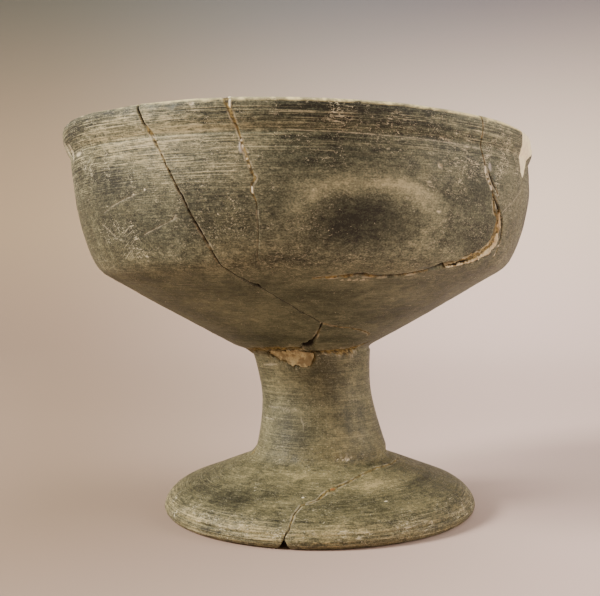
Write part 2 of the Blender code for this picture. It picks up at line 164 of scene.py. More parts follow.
# Fine scratches: points of (angle, height, width in mm), pale and shallow
SCRATCHES = [
    [(-37.5, 115.8, 0.15), (-33.1, 115.9, 0.4), (-30.6, 116.1, 0.45), (-27, 116.4, 0.4),
     (-24, 116.6, 0.15)],
    [(-50.2, 99.3, 0.1), (-46.4, 100.6, 0.18), (-42, 102, 0.08), (-38.8, 102.7, 0.2), (-34.6, 104.2, 0.1)],
    [(-37.6, 92.2, 0.1), (-34.8, 93.2, 0.22), (-31.2, 94.6, 0.12), (-28.4, 95.8, 0.1)],
    [(-52, 95.5, 0.15), (-50, 93.8, 0.25), (-48.5, 92.4, 0.15)],
    [(51.1, 99, 0.2), (53.4, 101.2, 0.35), (55.8, 102.9, 0.35), (58.4, 105.4, 0.3), (60.7, 107.6, 0.2)],
    [(46.3, 104.6, 0.3), (47.6, 104.2, 0.45), (48.8, 103.6, 0.3)],
    [(30, 118.6, 0.15), (33.5, 117.2, 0.35), (36, 116, 0.2)],
    [(-3, 118.3, 0.15), (4, 118.1, 0.35), (9, 118, 0.25), (16, 117.7, 0.4), (25, 117.6, 0.2),
     (33, 117.4, 0.45), (41, 117.1, 0.4), (47, 117, 0.15)],
    [(-18.3, 33.2, 0.25), (-17.4, 32.6, 0.65), (-16.5, 31.9, 0.3)],
    [(-75, 32.1, 0.2), (-62, 32.5, 0.35), (-50, 32.4, 0.2)],
    [(-57, 51, 0.3), (-44, 51.3, 0.6), (-33, 51.4, 0.35)],
    [(-60, 36.6, 0.15), (-40, 36.6, 0.3), (-20, 36, 0.15)],
]

# Chips, pits and flakes: (angle, height, half width, half height, depth in mm, kind). Spots with a negative
# depth stand proud.
SPOTS = [
    (-53.5, 126.4, 1.3, 0.9, 0.9, "bare"), (-64.3, 126.3, 1.6, 1.1, 1, "bare"),
    (-61.5, 116.8, 3.2, 0.7, 0.25, "bare"), (-67, 118.2, 1.9, 3, 0.9, "bare"),
    (-72.5, 120, 3.4, 2.2, 1.1, "bare"), (-20.5, 125.2, 0.9, 0.6, 0.25, "bare"),
    (-25.2, 124.9, 2.4, 0.8, 0.2, "blue"), (-12.7, 77.6, 0.9, 0.7, 1.2, "pit"),
    (-35, 104.2, 0.25, 0.2, 0.1, "white"), (-38.4, 103.2, 0.35, 0.2, 0.1, "bare"),
    (29, 110.6, 0.6, 0.6, 0.3, "bare"), (30, 82.3, 2.6, 0.5, 0.15, "blue"),
    (13.5, 79, 5, 0.22, 0.1, "bare"), (-8.4, 12.4, 0.5, 0.35, 0.1, "white"),
    (27, 10.8, 0.9, 0.35, 0.15, "white"), (-12.6, 124.9, 0.4, 1.2, -0.3, "white"),
    (-12.9, 126.5, 0.6, 0.6, -0.2, "white"), (-11.6, 113.8, 0.55, 1.7, -0.2, "grey"),
    (5.6, 13.9, 0.8, 0.45, -0.2, "rust"), (13.9, 80.5, 1.1, 0.4, 0.8, "pit"),
    (22.4, 80, 1.3, 0.35, 0.6, "pit"), (44.2, 112.6, 0.9, 1.4, 0.15, "grey"),
    (42.6, 111, 0.5, 1.2, -0.1, "white"), (46.2, 109.4, 0.7, 0.8, 0.1, "blue"),
    (47.6, 84.9, 0.5, 0.5, -0.3, "white"), (-79.5, 19.8, 1, 1.6, 0.5, "glue"),
    (37, 117, 1.6, 0.25, 0.1, "bare"), (29.6, 98, 1.1, 0.35, 0.1, "bare"),
    (13, 20.6, 0.35, 0.16, 0.1, "white"), (15.6, 21, 0.5, 0.2, 0.1, "bare"),
    (17.6, 20.3, 0.45, 0.2, 0.1, "white"), (20.2, 20.7, 0.6, 0.22, 0.1, "bare"),
    (22.6, 20.2, 0.45, 0.18, 0.1, "white"), (25, 20.9, 0.5, 0.2, 0.1, "bare")]

# Soft patches of tone: (angle, height, half width in mm, half height in mm, lighter or darker). They are
# partly the clay's own tone and partly painted light and shade.
PATCHES = [
    # Painted light: the first two patches brighten the upper left wall, where the main light falls.
    (-26, 114.5, 26, 7.5, 1.3), (-46, 119, 14, 5, 0.8), (-47, 108.5, 14, 5.5, -1.3),
    (-64, 104, 9, 14, -0.8), (-55, 123.6, 16, 3.4, -1.5), (-24, 122.8, 14, 4, 0.35),
    # Painted light: (-26, 119.6) brightens the shaded hollow under the lip.
    (-26, 112.3, 16, 3, -0.4), (-26, 119.6, 36, 1.6, 0.4), (16, 125.4, 40, 1.6, -0.5),
    # Painted shade: (-26, 95), (-18, 99) and (-44, 93) darken the lower left wall.
    (-26, 95, 22, 9, -0.5), (-18, 99, 12, 9, -0.35), (-44, 93, 16, 9, -1), (6, 124.2, 18, 3.2, -0.9),
    (14, 120, 26, 3.4, -0.65), (-20, 79, 24, 3.4, -0.1), (-50, 80, 16, 2.8, -0.5), (4, 112, 22, 5, -0.85),
    (38, 103, 11, 8, -1.2), (34, 69, 18, 8, -0.7), (44, 92, 9, 9, -1.1), (-20, 12, 50, 6, -0.35),
    (52, 118, 11, 6, 0.45), (20, 84.6, 16, 1.3, -0.3), (-3, 84.6, 12, 1.8, -0.3), (-4, 99, 17, 9, -0.6),
    (8, 46, 8, 8, -0.4), (20, 38, 8, 8, -0.3), (-38, 42, 9, 12, 0.25), (-32, 25.5, 12, 7, -0.6),
    # The patches below a height of 20 lie on the foot, partly painted light and shade against the light on
    # its upturned face.
    (8, 32, 9, 14, 0.25), (35, 28, 10, 6, 0.3), (-8, 25, 14, 4, 0.3), (-16, 11, 14, 5, 0.8),
    (-10, 16.5, 22, 3, 0.9), (62, 12.8, 13, 2.6, -1.2), (-46, 11, 20, 4, -1), (26, 14, 18, 4, 1.4),
    (36, 9, 16, 3, 0.5), (14, 10.8, 24, 1, -0.3), (-36, 9.6, 12, 1.2, -0.4), (0, 5.2, 70, 1.8, 0.8),
    # Painted shadow: (74, 109) and (96, 92) darken the wall's right edge, beside the plaster and where it
    # turns away.
    (4, 73, 18, 7, -0.25), (74, 109, 4.5, 12, -1.7), (55, 106, 6, 12, 0.4), (96, 92, 16, 8, -0.8),
    (-12, 61, 20, 3, -0.4)]

# Zones of pale flecks: (angle, height, half width in mm, half height in mm, how thick they lie)
FLECKS = [
    (8, 123.5, 16, 2.6, 0.9), (45, 119, 14, 5, 0.8), (44, 110, 9, 5, 1), (33, 109, 9, 4, 0.6),
    (-40, 92, 12, 6, 0.7), (-46, 86.5, 9, 2, 0.8), (-55, 113, 12, 5, 0.6), (24, 20.4, 3.4, 0.8, 1.4),
    (-55, 6.4, 18, 2.6, 0.9), (54, 6.4, 18, 2.6, 0.9), (0, 4.6, 50, 1.2, 0.6), (-30, 103, 22, 6, 0.35),
    (20, 105, 22, 3, 0.35), (55, 115, 8, 5, 0.7)]

# The smoke stain on the front: (angle, height, half width in mm, half height in mm), and the wall's radius
SMOKE = (14, 94.3, 17.5, 9.8)
SMOKE_RADIUS = 74 * MM

# The gap in the rim that the plaster fills: one side of it from the tip up, and then the other side
GAP_LEFT = [
    (61.6, 111.5), (60.3, 113.2), (59.9, 118), (59.3, 120.6), (58.9, 124), (58.8, 126.7)]
GAP_RIGHT = [
    (61.6, 111.5), (63.1, 112.6), (65.8, 115.9), (70, 119.9), (77.6, 123.2), (81.7, 126.7)]

# Fillers let into the clay: points of (angle, height, width in mm)
CRACK_FILLER = [
    (49.3, 100, 0.8), (49.9, 97.6, 1.7), (50.6, 95, 2.6), (51, 92.4, 3.4), (50.8, 90, 4), (49.4, 87.9, 3.9),
    (47, 86.3, 3.6), (44.2, 85.1, 3.2), (41.2, 84.1, 2.6), (38.6, 83.3, 1.8), (36.4, 82.8, 1)]
STEM_FILLER = [
    (-41, 55, 1.5), (-34, 54.8, 2.8), (-26, 54.3, 4.2), (-18, 53.8, 5.4), (-10, 53.8, 5.5), (-5, 54, 5),
    (-1, 54.6, 3.4), (2.4, 55.2, 1.8)]

# Turned lines around the body: (height in mm, depth in mm, width in mm)
TURNED_LINES = [
    (123.6, 0.05, 0.7), (120.5, 0.07, 0.7), (117.8, 0.13, 0.6), (114.2, 0.05, 0.8), (86.6, 0.06, 0.9),
    (7.6, 0.14, 0.6), (6, 0.12, 0.55), (4.3, 0.34, 0.65), (2.2, 0.16, 0.6)]

# The little gable of the notch in the foot's edge: points of (angle, height in mm)
FOOT_NOTCH = [(-14.6, 0), (-12.3, 3.5), (-10.7, 0)]

# Scale of the unrolled sheet: millimetres to a radian around the body and to a metre along its outline
SHEET_SCALE = np.array([80, 1000])

# How close to each other two vertices of the sheet may lie, in millimetres
LEAST_SPACING = 0.02

# How many vertices are measured against a line at once, so that the distances fit into memory
POINTS_AT_ONCE = 3000

# How many vertices the gap's border has on each stretch of its sides and where it crosses the lip, and the
# angle around which it lies, in radians
GAP_POINTS = 28
LIP_POINTS = 2
GAP_TURN = 1.2

# Tint of the greyer clay, which makes it a little darker in red and lighter in blue
COOL_TINT = (0.91, 1.03, 1.05)

# The lights: (name, place, what it looks at, size, colour). The settings have the power of each.
MIDDLE = (0, 0, 0.07)
LIGHTS = [
    ("key_light", (-1.05, -0.30, 0.70), MIDDLE, 0.35, (1, 0.97, 0.90)),
    ("fill_light", (1.0, -0.30, 0.50), MIDDLE, 0.7, (1, 0.99, 0.93)),
    ("backdrop_light", (0.10, 0.85, 0.90), (0.30, 1.9, 0.15), 0.9, (1, 0.98, 0.96)),
    ("top_light", (0.05, 0.15, 1.1), MIDDLE, 0.8, (1, 0.985, 0.94))]

# The camera, and how far it is tipped down and rolled in degrees
CAMERA_PLACE = (-0.001, -0.3, 0.077)
CAMERA_TIP = 0.7
CAMERA_ROLL = 0.6


def limited(share):
    """A share kept between 0 and 1."""
    return np.clip(share, 0, 1)


def eased(share):
    """A share from 0 to 1 that starts and ends gently."""
    share = limited(share)
    return share * share * (3 - 2 * share)


def hump(value, middle, width):
    """A smooth hump, which is 1 at its middle and falls to about a third at its width."""
    return np.exp(-((value - middle) / width) ** 2)


def summed(steps):
    """How far along a chain each of its points lies, from the lengths of its steps."""
    return np.concatenate([[0], np.cumsum(steps)])


def bend(start, corner, end, steps=16):
    """Points of a smooth bend that leaves start towards corner and arrives at end."""
    share = np.linspace(0, 1, steps + 1)[:, None]
    start, corner, end = np.array(start), np.array(corner), np.array(end)
    return (1 - share) ** 2 * start + 2 * share * (1 - share) * corner + share ** 2 * end


def rounded(before, corner, after, size):
    """Points that round a corner off, leaving its two sides at a distance from it."""
    before, corner, after = np.array(before), np.array(corner), np.array(after)
    start = corner + (before - corner) / np.linalg.norm(before - corner) * size
    end = corner + (after - corner) / np.linalg.norm(after - corner) * size
    return bend(start, corner, end)


def stretch(height_from, height_to, radius_at, steps=40):
    """Points between two heights, where a formula gives the radius."""
    heights = np.linspace(height_from, height_to, steps + 1)
    return np.column_stack([radius_at(heights), heights])


def wall_radius(z):
    """Outer radius of the wall, which leaves the shoulder slanting and rises steeper to the lip."""
    share = limited((z - SHOULDER_Z) / (RIM_Z - LIP_HEIGHT - SHOULDER_Z))
    return SHOULDER_RADIUS + (WALL_TOP_RADIUS - SHOULDER_RADIUS) * (1 - (1 - share) ** 2.4)


def stem_radius(z):
    """Outer radius of the stem, slim at its waist and wider towards both ends."""
    up = limited((z - WAIST_Z) / (JOINT_Z - WAIST_Z))
    down = limited((WAIST_Z - z) / (WAIST_Z - FOOT_HEIGHT))
    return (WAIST_RADIUS + FLARE_SHARE * (JOINT_RADIUS - WAIST_RADIUS) * up ** 1.5
            + (STEM_BASE_RADIUS - WAIST_RADIUS) * down ** 1.7)


def cone_height(radius, thickness):
    """Height of the cone's underside at a radius, or of a surface at a thickness above it."""
    slope = CONE_HEIGHT / (SHOULDER_RADIUS - JOINT_RADIUS)
    return JOINT_Z + (radius - JOINT_RADIUS) * slope + thickness * math.hypot(1, slope)


def dome_height(radius):
    """Height of the foot's upper face at a radius."""
    roll_start = FOOT_RADIUS - EDGE_ROLL
    low, high = EDGE_HEIGHT + EDGE_ROLL, FOOT_HEIGHT - DOME_DROP
    return high + (low - high) * (radius - STEM_BASE_RADIUS) / (roll_start - STEM_BASE_RADIUS)


def bowl_inside():
    """The inside of the bowl from its middle up to the top of the lip, as (radius, height) points."""
    floor_z = cone_height(0.92 * JOINT_RADIUS, CONE_THICKNESS)
    radius = SHOULDER_RADIUS - WALL_THICKNESS
    for _ in range(12):
        radius = float(wall_radius(cone_height(radius, CONE_THICKNESS))) - WALL_THICKNESS
    corner = (radius, cone_height(radius, CONE_THICKNESS))
    cone_start = (1.4 * JOINT_RADIUS, cone_height(1.4 * JOINT_RADIUS, CONE_THICKNESS))
    floor = bend((0.6 * JOINT_RADIUS, floor_z), (JOINT_RADIUS, floor_z), cone_start)
    wall_start = corner[1] + 1.25 * INNER_ROUND
    wall = stretch(wall_start, RIM_Z - LIP_HEIGHT, lambda z: wall_radius(z) - WALL_THICKNESS)
    turn = rounded(cone_start, corner, wall[0], INNER_ROUND)
    lip_inside = WALL_TOP_RADIUS - WALL_THICKNESS
    lip = bend((lip_inside, RIM_Z - LIP_ROUND), (lip_inside, RIM_Z), (lip_inside + LIP_ROUND, RIM_Z))
    return np.vstack([[(0, floor_z)], floor, turn, wall, lip])


def bowl_outside():
    """The outside from the top of the lip down to the joint with the stem."""
    lip = bend((RIM_RADIUS - LIP_ROUND, RIM_Z), (RIM_RADIUS, RIM_Z), (RIM_RADIUS, RIM_Z - LIP_ROUND))
    lip_foot = RIM_Z - 1.1 * LIP_HEIGHT
    hang = bend((RIM_RADIUS, RIM_Z - LIP_ROUND), (RIM_RADIUS, RIM_Z - 0.75 * LIP_HEIGHT),
                (float(wall_radius(lip_foot)), lip_foot))
    wall = stretch(lip_foot, SHOULDER_Z + 1.3 * SHOULDER_ROUND, wall_radius)
    shoulder = rounded(wall[-1], (SHOULDER_RADIUS, SHOULDER_Z), (JOINT_RADIUS, JOINT_Z), SHOULDER_ROUND)
    share = np.linspace(0, 1, 30)[1:, None]
    cone = shoulder[-1] + share * (np.array([JOINT_RADIUS, JOINT_Z]) - shoulder[-1])
    cone[:, 1] -= CONE_BULGE * (4 * share * (1 - share))[:, 0]
    return np.vstack([lip, hang[1:], wall[1:], shoulder, cone])


def stem_and_foot():
    """The outside from the joint down to the resting ring, and on under the foot to the stem's hollow."""
    stem = stretch(JOINT_Z - 0.04 * STEM_HEIGHT, FOOT_HEIGHT, stem_radius)
    fillet_end = STEM_BASE_RADIUS + STEM_FILLET
    fillet = bend(stem[-1], (STEM_BASE_RADIUS + 0.1 * STEM_FILLET, dome_height(STEM_BASE_RADIUS)),
                  (fillet_end, dome_height(fillet_end)))
    roll_start = FOOT_RADIUS - EDGE_ROLL
    edge_corner = (FOOT_RADIUS - 0.1 * EDGE_ROLL, EDGE_HEIGHT + 0.65 * EDGE_ROLL)
    roll = bend((roll_start, dome_height(roll_start)), edge_corner, (FOOT_RADIUS, EDGE_HEIGHT))
    under = bend((FOOT_RADIUS, EDGE_HEIGHT), (FOOT_RADIUS - 0.1 * RING_INSET, 0.15 * EDGE_HEIGHT),
                 (FOOT_RADIUS - RING_INSET, 0))
    ring_inside = FOOT_RADIUS - RING_INSET - RING_WIDTH
    roof_start = ring_inside - 0.8 * RING_WIDTH
    roof = np.array([(r, dome_height(r) - FOOT_THICKNESS) for r in (roof_start, STEM_BASE_RADIUS)])
    bore_waist = WAIST_RADIUS - STEM_THICKNESS
    bore_top = cone_height(JOINT_RADIUS, CONE_THICKNESS) - FLOOR_THICKNESS
    bore = bend(roof[-1], (STEM_BASE_RADIUS - STEM_THICKNESS, 0.8 * FOOT_HEIGHT), (bore_waist, WAIST_Z))
    crown = bend((bore_waist, bore_top - 0.5 * bore_waist), (bore_waist, bore_top), (0, bore_top))
    return np.vstack([stem, fillet[1:], roll, under[1:], [(ring_inside, 0)], roof, bore[1:], crown])


def body_outline():
    """The body's whole outline, every tenth of a millimetre, with its corners a little softened.

    track is the way along it from the middle of the bowl's floor, over the lip and the foot's edge, to the
    top of the hollow stem. out_r and out_z point out of the clay.
    """
    corners = np.vstack([bowl_inside(), bowl_outside(), stem_and_foot()])
    length = summed(np.hypot(*np.diff(corners, axis=0).T))
    track = np.arange(0, length[-1], 0.1 * MM)
    kernel = np.hanning(13)[1:-1]
    kernel /= kernel.sum()
    lines = [np.pad(np.interp(track, length, line), 5, mode="edge") for line in corners.T]
    radius, height = [np.convolve(line, kernel, "valid") for line in lines]
    slope_r, slope_z = np.gradient(radius, track), np.gradient(height, track)
    size = np.hypot(slope_r, slope_z) + 1e-9
    outline = SimpleNamespace(track=track, radius=radius, height=height,
                              out_r=-slope_z / size, out_z=slope_r / size)
    outline.lip = int(np.mean(np.flatnonzero(height > RIM_Z - 1e-6)))
    outline.ring = int(np.flatnonzero((height < 1e-6) & (track > track[outline.lip]))[0])
    outline.inner_corner = int(np.flatnonzero(radius > 0.9 * SHOULDER_RADIUS)[0])
    return outline


OUT = body_outline()


def outside_track(height_mm):
    """The way along the outline to a height on the outside."""
    part = slice(OUT.lip, OUT.ring)
    return np.interp(-np.asarray(height_mm) * MM, -OUT.height[part], OUT.track[part])


def inside_track(height_mm):
    """The way along the outline to a height on the inside of the wall."""
    part = slice(OUT.inner_corner, OUT.lip)
    return np.interp(np.asarray(height_mm) * MM, OUT.height[part], OUT.track[part])


def radius_at(track):
    """The radius of the body at a way along its outline."""
    return np.interp(track, OUT.track, OUT.radius)


def leaned(upright):
    """Points of the upright turned body, moved to where the leaning body has them."""
    x, y, z = upright.T
    stem_top = JOINT_Z - 0.5 * STEP_HEIGHT
    dome_top = FOOT_HEIGHT - DOME_DROP
    shift = FOOT_OFFSET + (STEM_BASE_OFFSET - FOOT_OFFSET) * eased((z - dome_top) / STEP_HEIGHT)
    share = limited((z - FOOT_HEIGHT) / (stem_top - FOOT_HEIGHT))
    shift = shift - (STEM_BASE_OFFSET - STEM_TOP_OFFSET) * share ** 1.4
    shift = shift - STEM_TOP_OFFSET * eased((z - stem_top) / STEP_HEIGHT)
    upper = np.maximum(0, (z - SHOULDER_Z) / WALL_HEIGHT)
    shift = shift - LIP_SHIFT * eased(2 * upper - 1)
    drop = RIM_DROP * x / RIM_RADIUS * upper
    rise = LEFT_RISE * upper ** 2 * eased((-x / RIM_RADIUS - 0.6) / 0.27)
    return np.column_stack([x + shift, y, z - drop + rise])


def skin(turn, track):
    """Points on the smooth upright body, and the directions that point out of the clay there."""
    radius, height, out_r, out_z = [np.interp(track, OUT.track, line)
                                    for line in (OUT.radius, OUT.height, OUT.out_r, OUT.out_z)]
    side, front = np.sin(turn), -np.cos(turn)
    points = np.column_stack([radius * side, radius * front, height])
    outward = np.column_stack([out_r * side, out_r * front, out_z])
    return points, outward


def rough(points, size, seed):
    """Smooth noise from -1 to 1 at points, with lumps of a size."""
    cells = points / size + 17.3 * seed
    base = np.floor(cells).astype(np.int64)
    part = cells - base
    part = part * part * (3 - 2 * part)
    total = np.zeros(len(points))
    for corner in itertools.product((0, 1), repeat=3):
        spot = base + corner
        mixed = (spot[:, 0] * 73856093) ^ (spot[:, 1] * 19349663) ^ (spot[:, 2] * 83492791)
        mixed = (mixed ^ (mixed >> 13)) * 1274126177 & 0x7FFFFFFF
        total += (mixed / 0x3FFFFFFF - 1) * np.prod(np.where(corner, part, 1 - part), axis=1)
    return total


def stroke(path, spacing=0.45 * MM, wobble=0.14 * MM, seed=1, spread=1):
    """Stations along a path on the outside: their places, sides and the values that they carry."""
    values = np.array([(*row, 0, 0)[:5] for row in path], float)
    turn, track = np.radians(values[:, 0]), outside_track(values[:, 1])
    points, _ = skin(turn, track)
    length = summed(np.linalg.norm(np.diff(points, axis=0), axis=1))
    way = np.linspace(0, length[-1], max(3, int(length[-1] / spacing) + 1))
    carried = (turn, track, *values[:, 2:].T)
    turn, track, width, glue, chalk = [np.interp(way, length, value) for value in carried]
    line = SimpleNamespace(turn=turn, track=track, way=way, glue=glue, chalk=chalk)
    line.trail = np.column_stack([way, 0 * way, 0 * way])
    line.width = width * MM * spread * (1 + 0.3 * rough(line.trail, 1.3 * MM, seed + 5))
    if wobble:
        move = rough(line.trail, 2.2 * MM, seed) + 0.6 * rough(line.trail, 0.9 * MM, seed + 9)
        line.turn, line.track = shifted(line, frame_of(line)[1], wobble * move)
    line.points, line.side, line.along = frame_of(line)
    return line


def frame_of(line):
    """The places of a line's stations, and the directions to their side and along the line."""
    points, outward = skin(line.turn, line.track)
    along = np.gradient(points, axis=0)
    along /= np.linalg.norm(along, axis=1)[:, None]
    return points, np.cross(outward, along), along


def shifted(line, side, distance):
    """Angles and tracks of a line's stations, moved sideways over the skin by a distance."""
    step = 0.05 * MM
    ahead = np.column_stack([np.cos(line.turn), np.sin(line.turn), 0 * line.turn])
    down = (skin(line.turn, line.track + step)[0] - skin(line.turn, line.track)[0]) / step
    return (line.turn + distance * np.sum(side * ahead, axis=1) / radius_at(line.track),
            line.track + distance * np.sum(side * down, axis=1))


def beside(points, line, reach):
    """For each point near a line: which points, the signed distance to it, and the nearest station."""
    low, high = line.points.min(0) - reach, line.points.max(0) + reach
    near = np.flatnonzero(np.all((points > low) & (points < high), axis=1))
    distance, station = np.zeros(len(near)), np.zeros(len(near), int)
    for start in range(0, len(near), POINTS_AT_ONCE):
        chunk = slice(start, start + POINTS_AT_ONCE)
        away = points[near[chunk]][:, None] - line.points[None]
        station[chunk] = np.argmin(np.sum(away * away, axis=2), axis=1)
        offset = points[near[chunk]] - line.points[station[chunk]]
        across = np.sum(offset * line.side[station[chunk]], axis=1)
        past = np.abs(np.sum(offset * line.along[station[chunk]], axis=1))
        past = np.maximum(0, past - 0.6 * (line.way[1] - line.way[0]))
        distance[chunk] = np.where(across < 0, -1, 1) * np.hypot(across, past)
    close = np.abs(distance) < reach
    return near[close], distance[close], station[close]


@lru_cache(maxsize=None)
def marks():
    """All the lines that are worked into the clay."""
    cracks = {name: stroke(path, seed=3 * i + 1, spread=1 if "joint" in name else CRACK_WIDTH)
              for i, (name, path) in enumerate(CRACKS.items())}
    scratches = [stroke(path, 0.6 * MM, 0.05 * MM, seed=40 + i) for i, path in enumerate(SCRATCHES)]
    seats = [stroke(CRACK_FILLER, wobble=0, seed=70), stroke(STEM_FILLER, wobble=0, seed=71)]
    return SimpleNamespace(cracks=cracks, scratches=scratches, seats=seats)


def gap_side(side, seed):
    """One side of the rim's gap with a ragged edge, as angles and heights."""
    angles, heights = np.array(side, float).T
    height = np.linspace(heights[0], heights[-1], GAP_POINTS)
    ragged = rough(np.column_stack([height] * 3) * MM, 1.1 * MM, seed)
    inner = (height > heights[0] + 0.3) & (height < heights[-1] - 0.3)
    return np.radians(np.interp(height, heights, angles) + 0.18 * ragged * inner), height


def gap_loop():
    """The border of the rim's gap as (turn, track) rows, out and in at its left and then at its right."""
    lip = np.linspace(outside_track(RIM_Z / MM), inside_track(RIM_Z / MM), LIP_POINTS + 2)[1:-1]
    (left, left_z), (right, right_z) = gap_side(GAP_LEFT, 3), gap_side(GAP_RIGHT, 4)
    stretches = [(left, outside_track(left_z)), (left[-1] + 0 * lip, lip),
                 (left[::-1], inside_track(left_z)[::-1]), (right[1:], inside_track(right_z)[1:]),
                 (right[-1] + 0 * lip, lip[::-1]), (right[:0:-1], outside_track(right_z)[:0:-1])]
    return np.vstack([np.column_stack(stretch) for stretch in stretches])


def within(points, loop):
    """Which (turn, track) points lie inside a closed loop."""
    x, y = points.T
    inside = np.zeros(len(points), bool)
    for (x1, y1), (x2, y2) in zip(loop, np.roll(loop, -1, axis=0)):
        crosses = (y1 > y) != (y2 > y)
        inside ^= crosses & (x < (x2 - x1) * (y - y1) / (y2 - y1 + 1e-15) + x1)
    return inside


def row_tracks():
    """Where the mesh's rows run: close together outside, and closest at the lip and the turned lines."""
    lip, ring, end = OUT.track[[OUT.lip, OUT.ring, -1]]
    # Where each zone of the outline ends, and how far apart the rows are in it, in millimetres
    zones = [(lip - 4 * MM, 2.1), (lip + 4 * MM, 0.55), (outside_track(125), 0.85),
             (outside_track(109), 0.5), (ring + 1 * MM, 0.85), (ring + 12 * MM, 1.5), (end - 1 * MM, 2.6)]
    rows, track = [], 1.2 * MM
    for zone_end, step in zones:
        while track < zone_end:
            rows.append(track)
            track += step * MM
    rows = np.array(rows)
    for height, _, width in TURNED_LINES:
        line = outside_track(height)
        rows = rows[np.abs(rows - line) > 0.75 * width * MM]
        rows = np.append(rows, line + width * MM * np.array([-0.55, -0.25, 0, 0.25, 0.55]))
    return np.sort(rows)


def columns(track):
    """Angles of a row's vertices from seam to seam, twice as close in front as at the back."""
    lip, ring = OUT.track[[OUT.lip, OUT.ring]]
    seen_from_outside = lip - 4 * MM < track < ring + 2 * MM
    step = (1.05 if seen_from_outside else 2.2) * MM
    turns = np.linspace(-math.pi, math.pi, 721)
    density = 0.5 + 0.5 * eased((2.2 - np.abs(turns)) / 0.4)
    total = summed((density[1:] + density[:-1]) / 2 * np.diff(turns))
    count = max(8, 12 * round(total[-1] * radius_at(track) / step / 12))
    return np.interp(np.linspace(0, total[-1], count + 1), total, turns)


def rows_along(line, places, clear):
    """Rows of vertices on a line and on both its sides, which the other vertices keep clear of."""
    near, distance, station = beside(places, line, 5 * MM)
    clear[near[np.abs(distance) < 0.5 * line.width[station] + 0.75 * MM]] = False
    # How far out the rows run: as a share of the line's width, and in millimetres beyond that
    rows = [(0, 0), (0.3, 0), (0.5, 0), (0.5, 0.2), (0.5, 0.55)]
    if line.width.max() < 0.5 * MM:
        rows = [(0, 0), (0.5, 0), (0.5, 0.55)]
    return [np.column_stack(shifted(line, line.side, sign * (share * line.width + more * MM)))
            for share, more in rows for sign in ((-1, 1) if share else (1,))]


def rings_around(spot, base, clear):
    """Rings of vertices in and around a spot, which the other vertices keep clear of."""
    angle, height, half_width, half_height = spot[:4]
    turn, track = math.radians(angle), float(outside_track(height))
    clear[distance_to(*base.T, *spot[:4]) < 1.15] = False
    around = np.linspace(0, math.tau, 15)[:-1]
    rings = [[(turn, track)]]
    for share in (0.45, 0.8, 1.05):
        rings.append(np.column_stack([turn + share * half_width * MM * np.cos(around) / radius_at(track),
                                      track + share * half_height * MM * np.sin(around)]))
    return rings


def off_border(flat, loop):
    """Which (turn, track) points keep clear of the gap's border."""
    places, border = skin(*flat.T)[0], skin(*loop.T)[0]
    close = np.flatnonzero(np.all(np.abs(places - border.mean(0)) < 30 * MM, axis=1))
    away = np.linalg.norm(places[close][:, None] - border[None], axis=2).min(axis=1)
    clear = np.ones(len(flat), bool)
    clear[close] = away > 0.35 * MM
    return clear


@lru_cache(maxsize=None)
def clay_sheet():
    """The unrolled body, triangulated with rows of vertices along each crack, around each spot and gap.

    Gives the (turn, track) vertices, the triangles, which triangles lie in the rim's gap, and its border.
    """
    base = np.array([(turn, track) for track in row_tracks() for turn in columns(track)])
    places, _ = skin(*base.T)
    clear = np.ones(len(base), bool)
    extra = []
    for line in [*marks().cracks.values(), *marks().scratches, *marks().seats]:
        extra += rows_along(line, places, clear)
    for spot in SPOTS:
        extra += rings_around(spot, base, clear)
    extra = np.vstack(extra)
    loop = gap_loop()
    clear &= off_border(base, loop)
    on_seam = np.abs(np.abs(base[:, 0]) - math.pi) < 1e-9
    flat = np.vstack([loop, extra[off_border(extra, loop)], base[clear | on_seam]])
    _, first = np.unique(np.round(flat * (SHEET_SCALE / LEAST_SPACING)), axis=0, return_index=True)
    flat = flat[np.union1d(np.arange(len(loop)), first)] * SHEET_SCALE
    border = [(i, (i + 1) % len(loop)) for i in range(len(loop))]
    made = delaunay_2d_cdt([Vector(point) for point in flat], border, [], 0, 1e-5, True)
    verts = np.array([tuple(vert) for vert in made[0]]) / SHEET_SCALE
    faces = np.array(made[2])
    where = {source: i for i, sources in enumerate(made[3]) for source in sources}
    border = np.array([where[i] for i in range(len(loop))])
    return verts, faces, within(verts[faces].mean(axis=1), loop), border


def gap_walls(border):
    """Faces of the cut through the wall, which join the gap's border outside to its border inside."""
    counts = [GAP_POINTS, LIP_POINTS, GAP_POINTS, GAP_POINTS - 1, LIP_POINTS]
    left_out, left_lip, left_in, right_in, right_lip, right_out = np.split(border, np.cumsum(counts))
    sides = [(left_out, left_in[::-1], left_lip[::-1]),
             (np.append(left_out[0], right_out[::-1]), np.append(left_in[-1], right_in), right_lip)]
    faces = []
    for outside, inside, lip in sides:
        for i in range(GAP_POINTS - 1):
            faces.append([outside[i], inside[i], inside[i + 1], outside[i + 1]])
        faces.append([outside[-1], inside[-1], *lip])
    return faces


def closed_mesh(name, places, faces, look):
    """A mesh of the used vertices, with faces pointing outwards and its looks as point attributes."""
    used = np.unique(np.concatenate([np.asarray(face) for face in faces]))
    new = np.full(len(places), -1)
    new[used] = np.arange(len(used))
    mesh = bpy.data.meshes.new(name)
    mesh.from_pydata(places[used].tolist(), [], [[int(new[i]) for i in face] for face in faces])
    for key, value in look.items():
        kind, field = ("FLOAT_VECTOR", "vector") if value.ndim == 2 else ("FLOAT", "value")
        store = mesh.attributes.new(key, kind, "POINT")
        store.data.foreach_set(field, value[used].astype(np.float32).ravel())
    body = bmesh.new()
    body.from_mesh(mesh)
    bmesh.ops.recalc_face_normals(body, faces=body.faces)
    body.to_mesh(mesh)
    body.free()
    mesh.shade_smooth()
    mesh.set_sharp_from_angle(angle=math.radians(50))
    return mesh


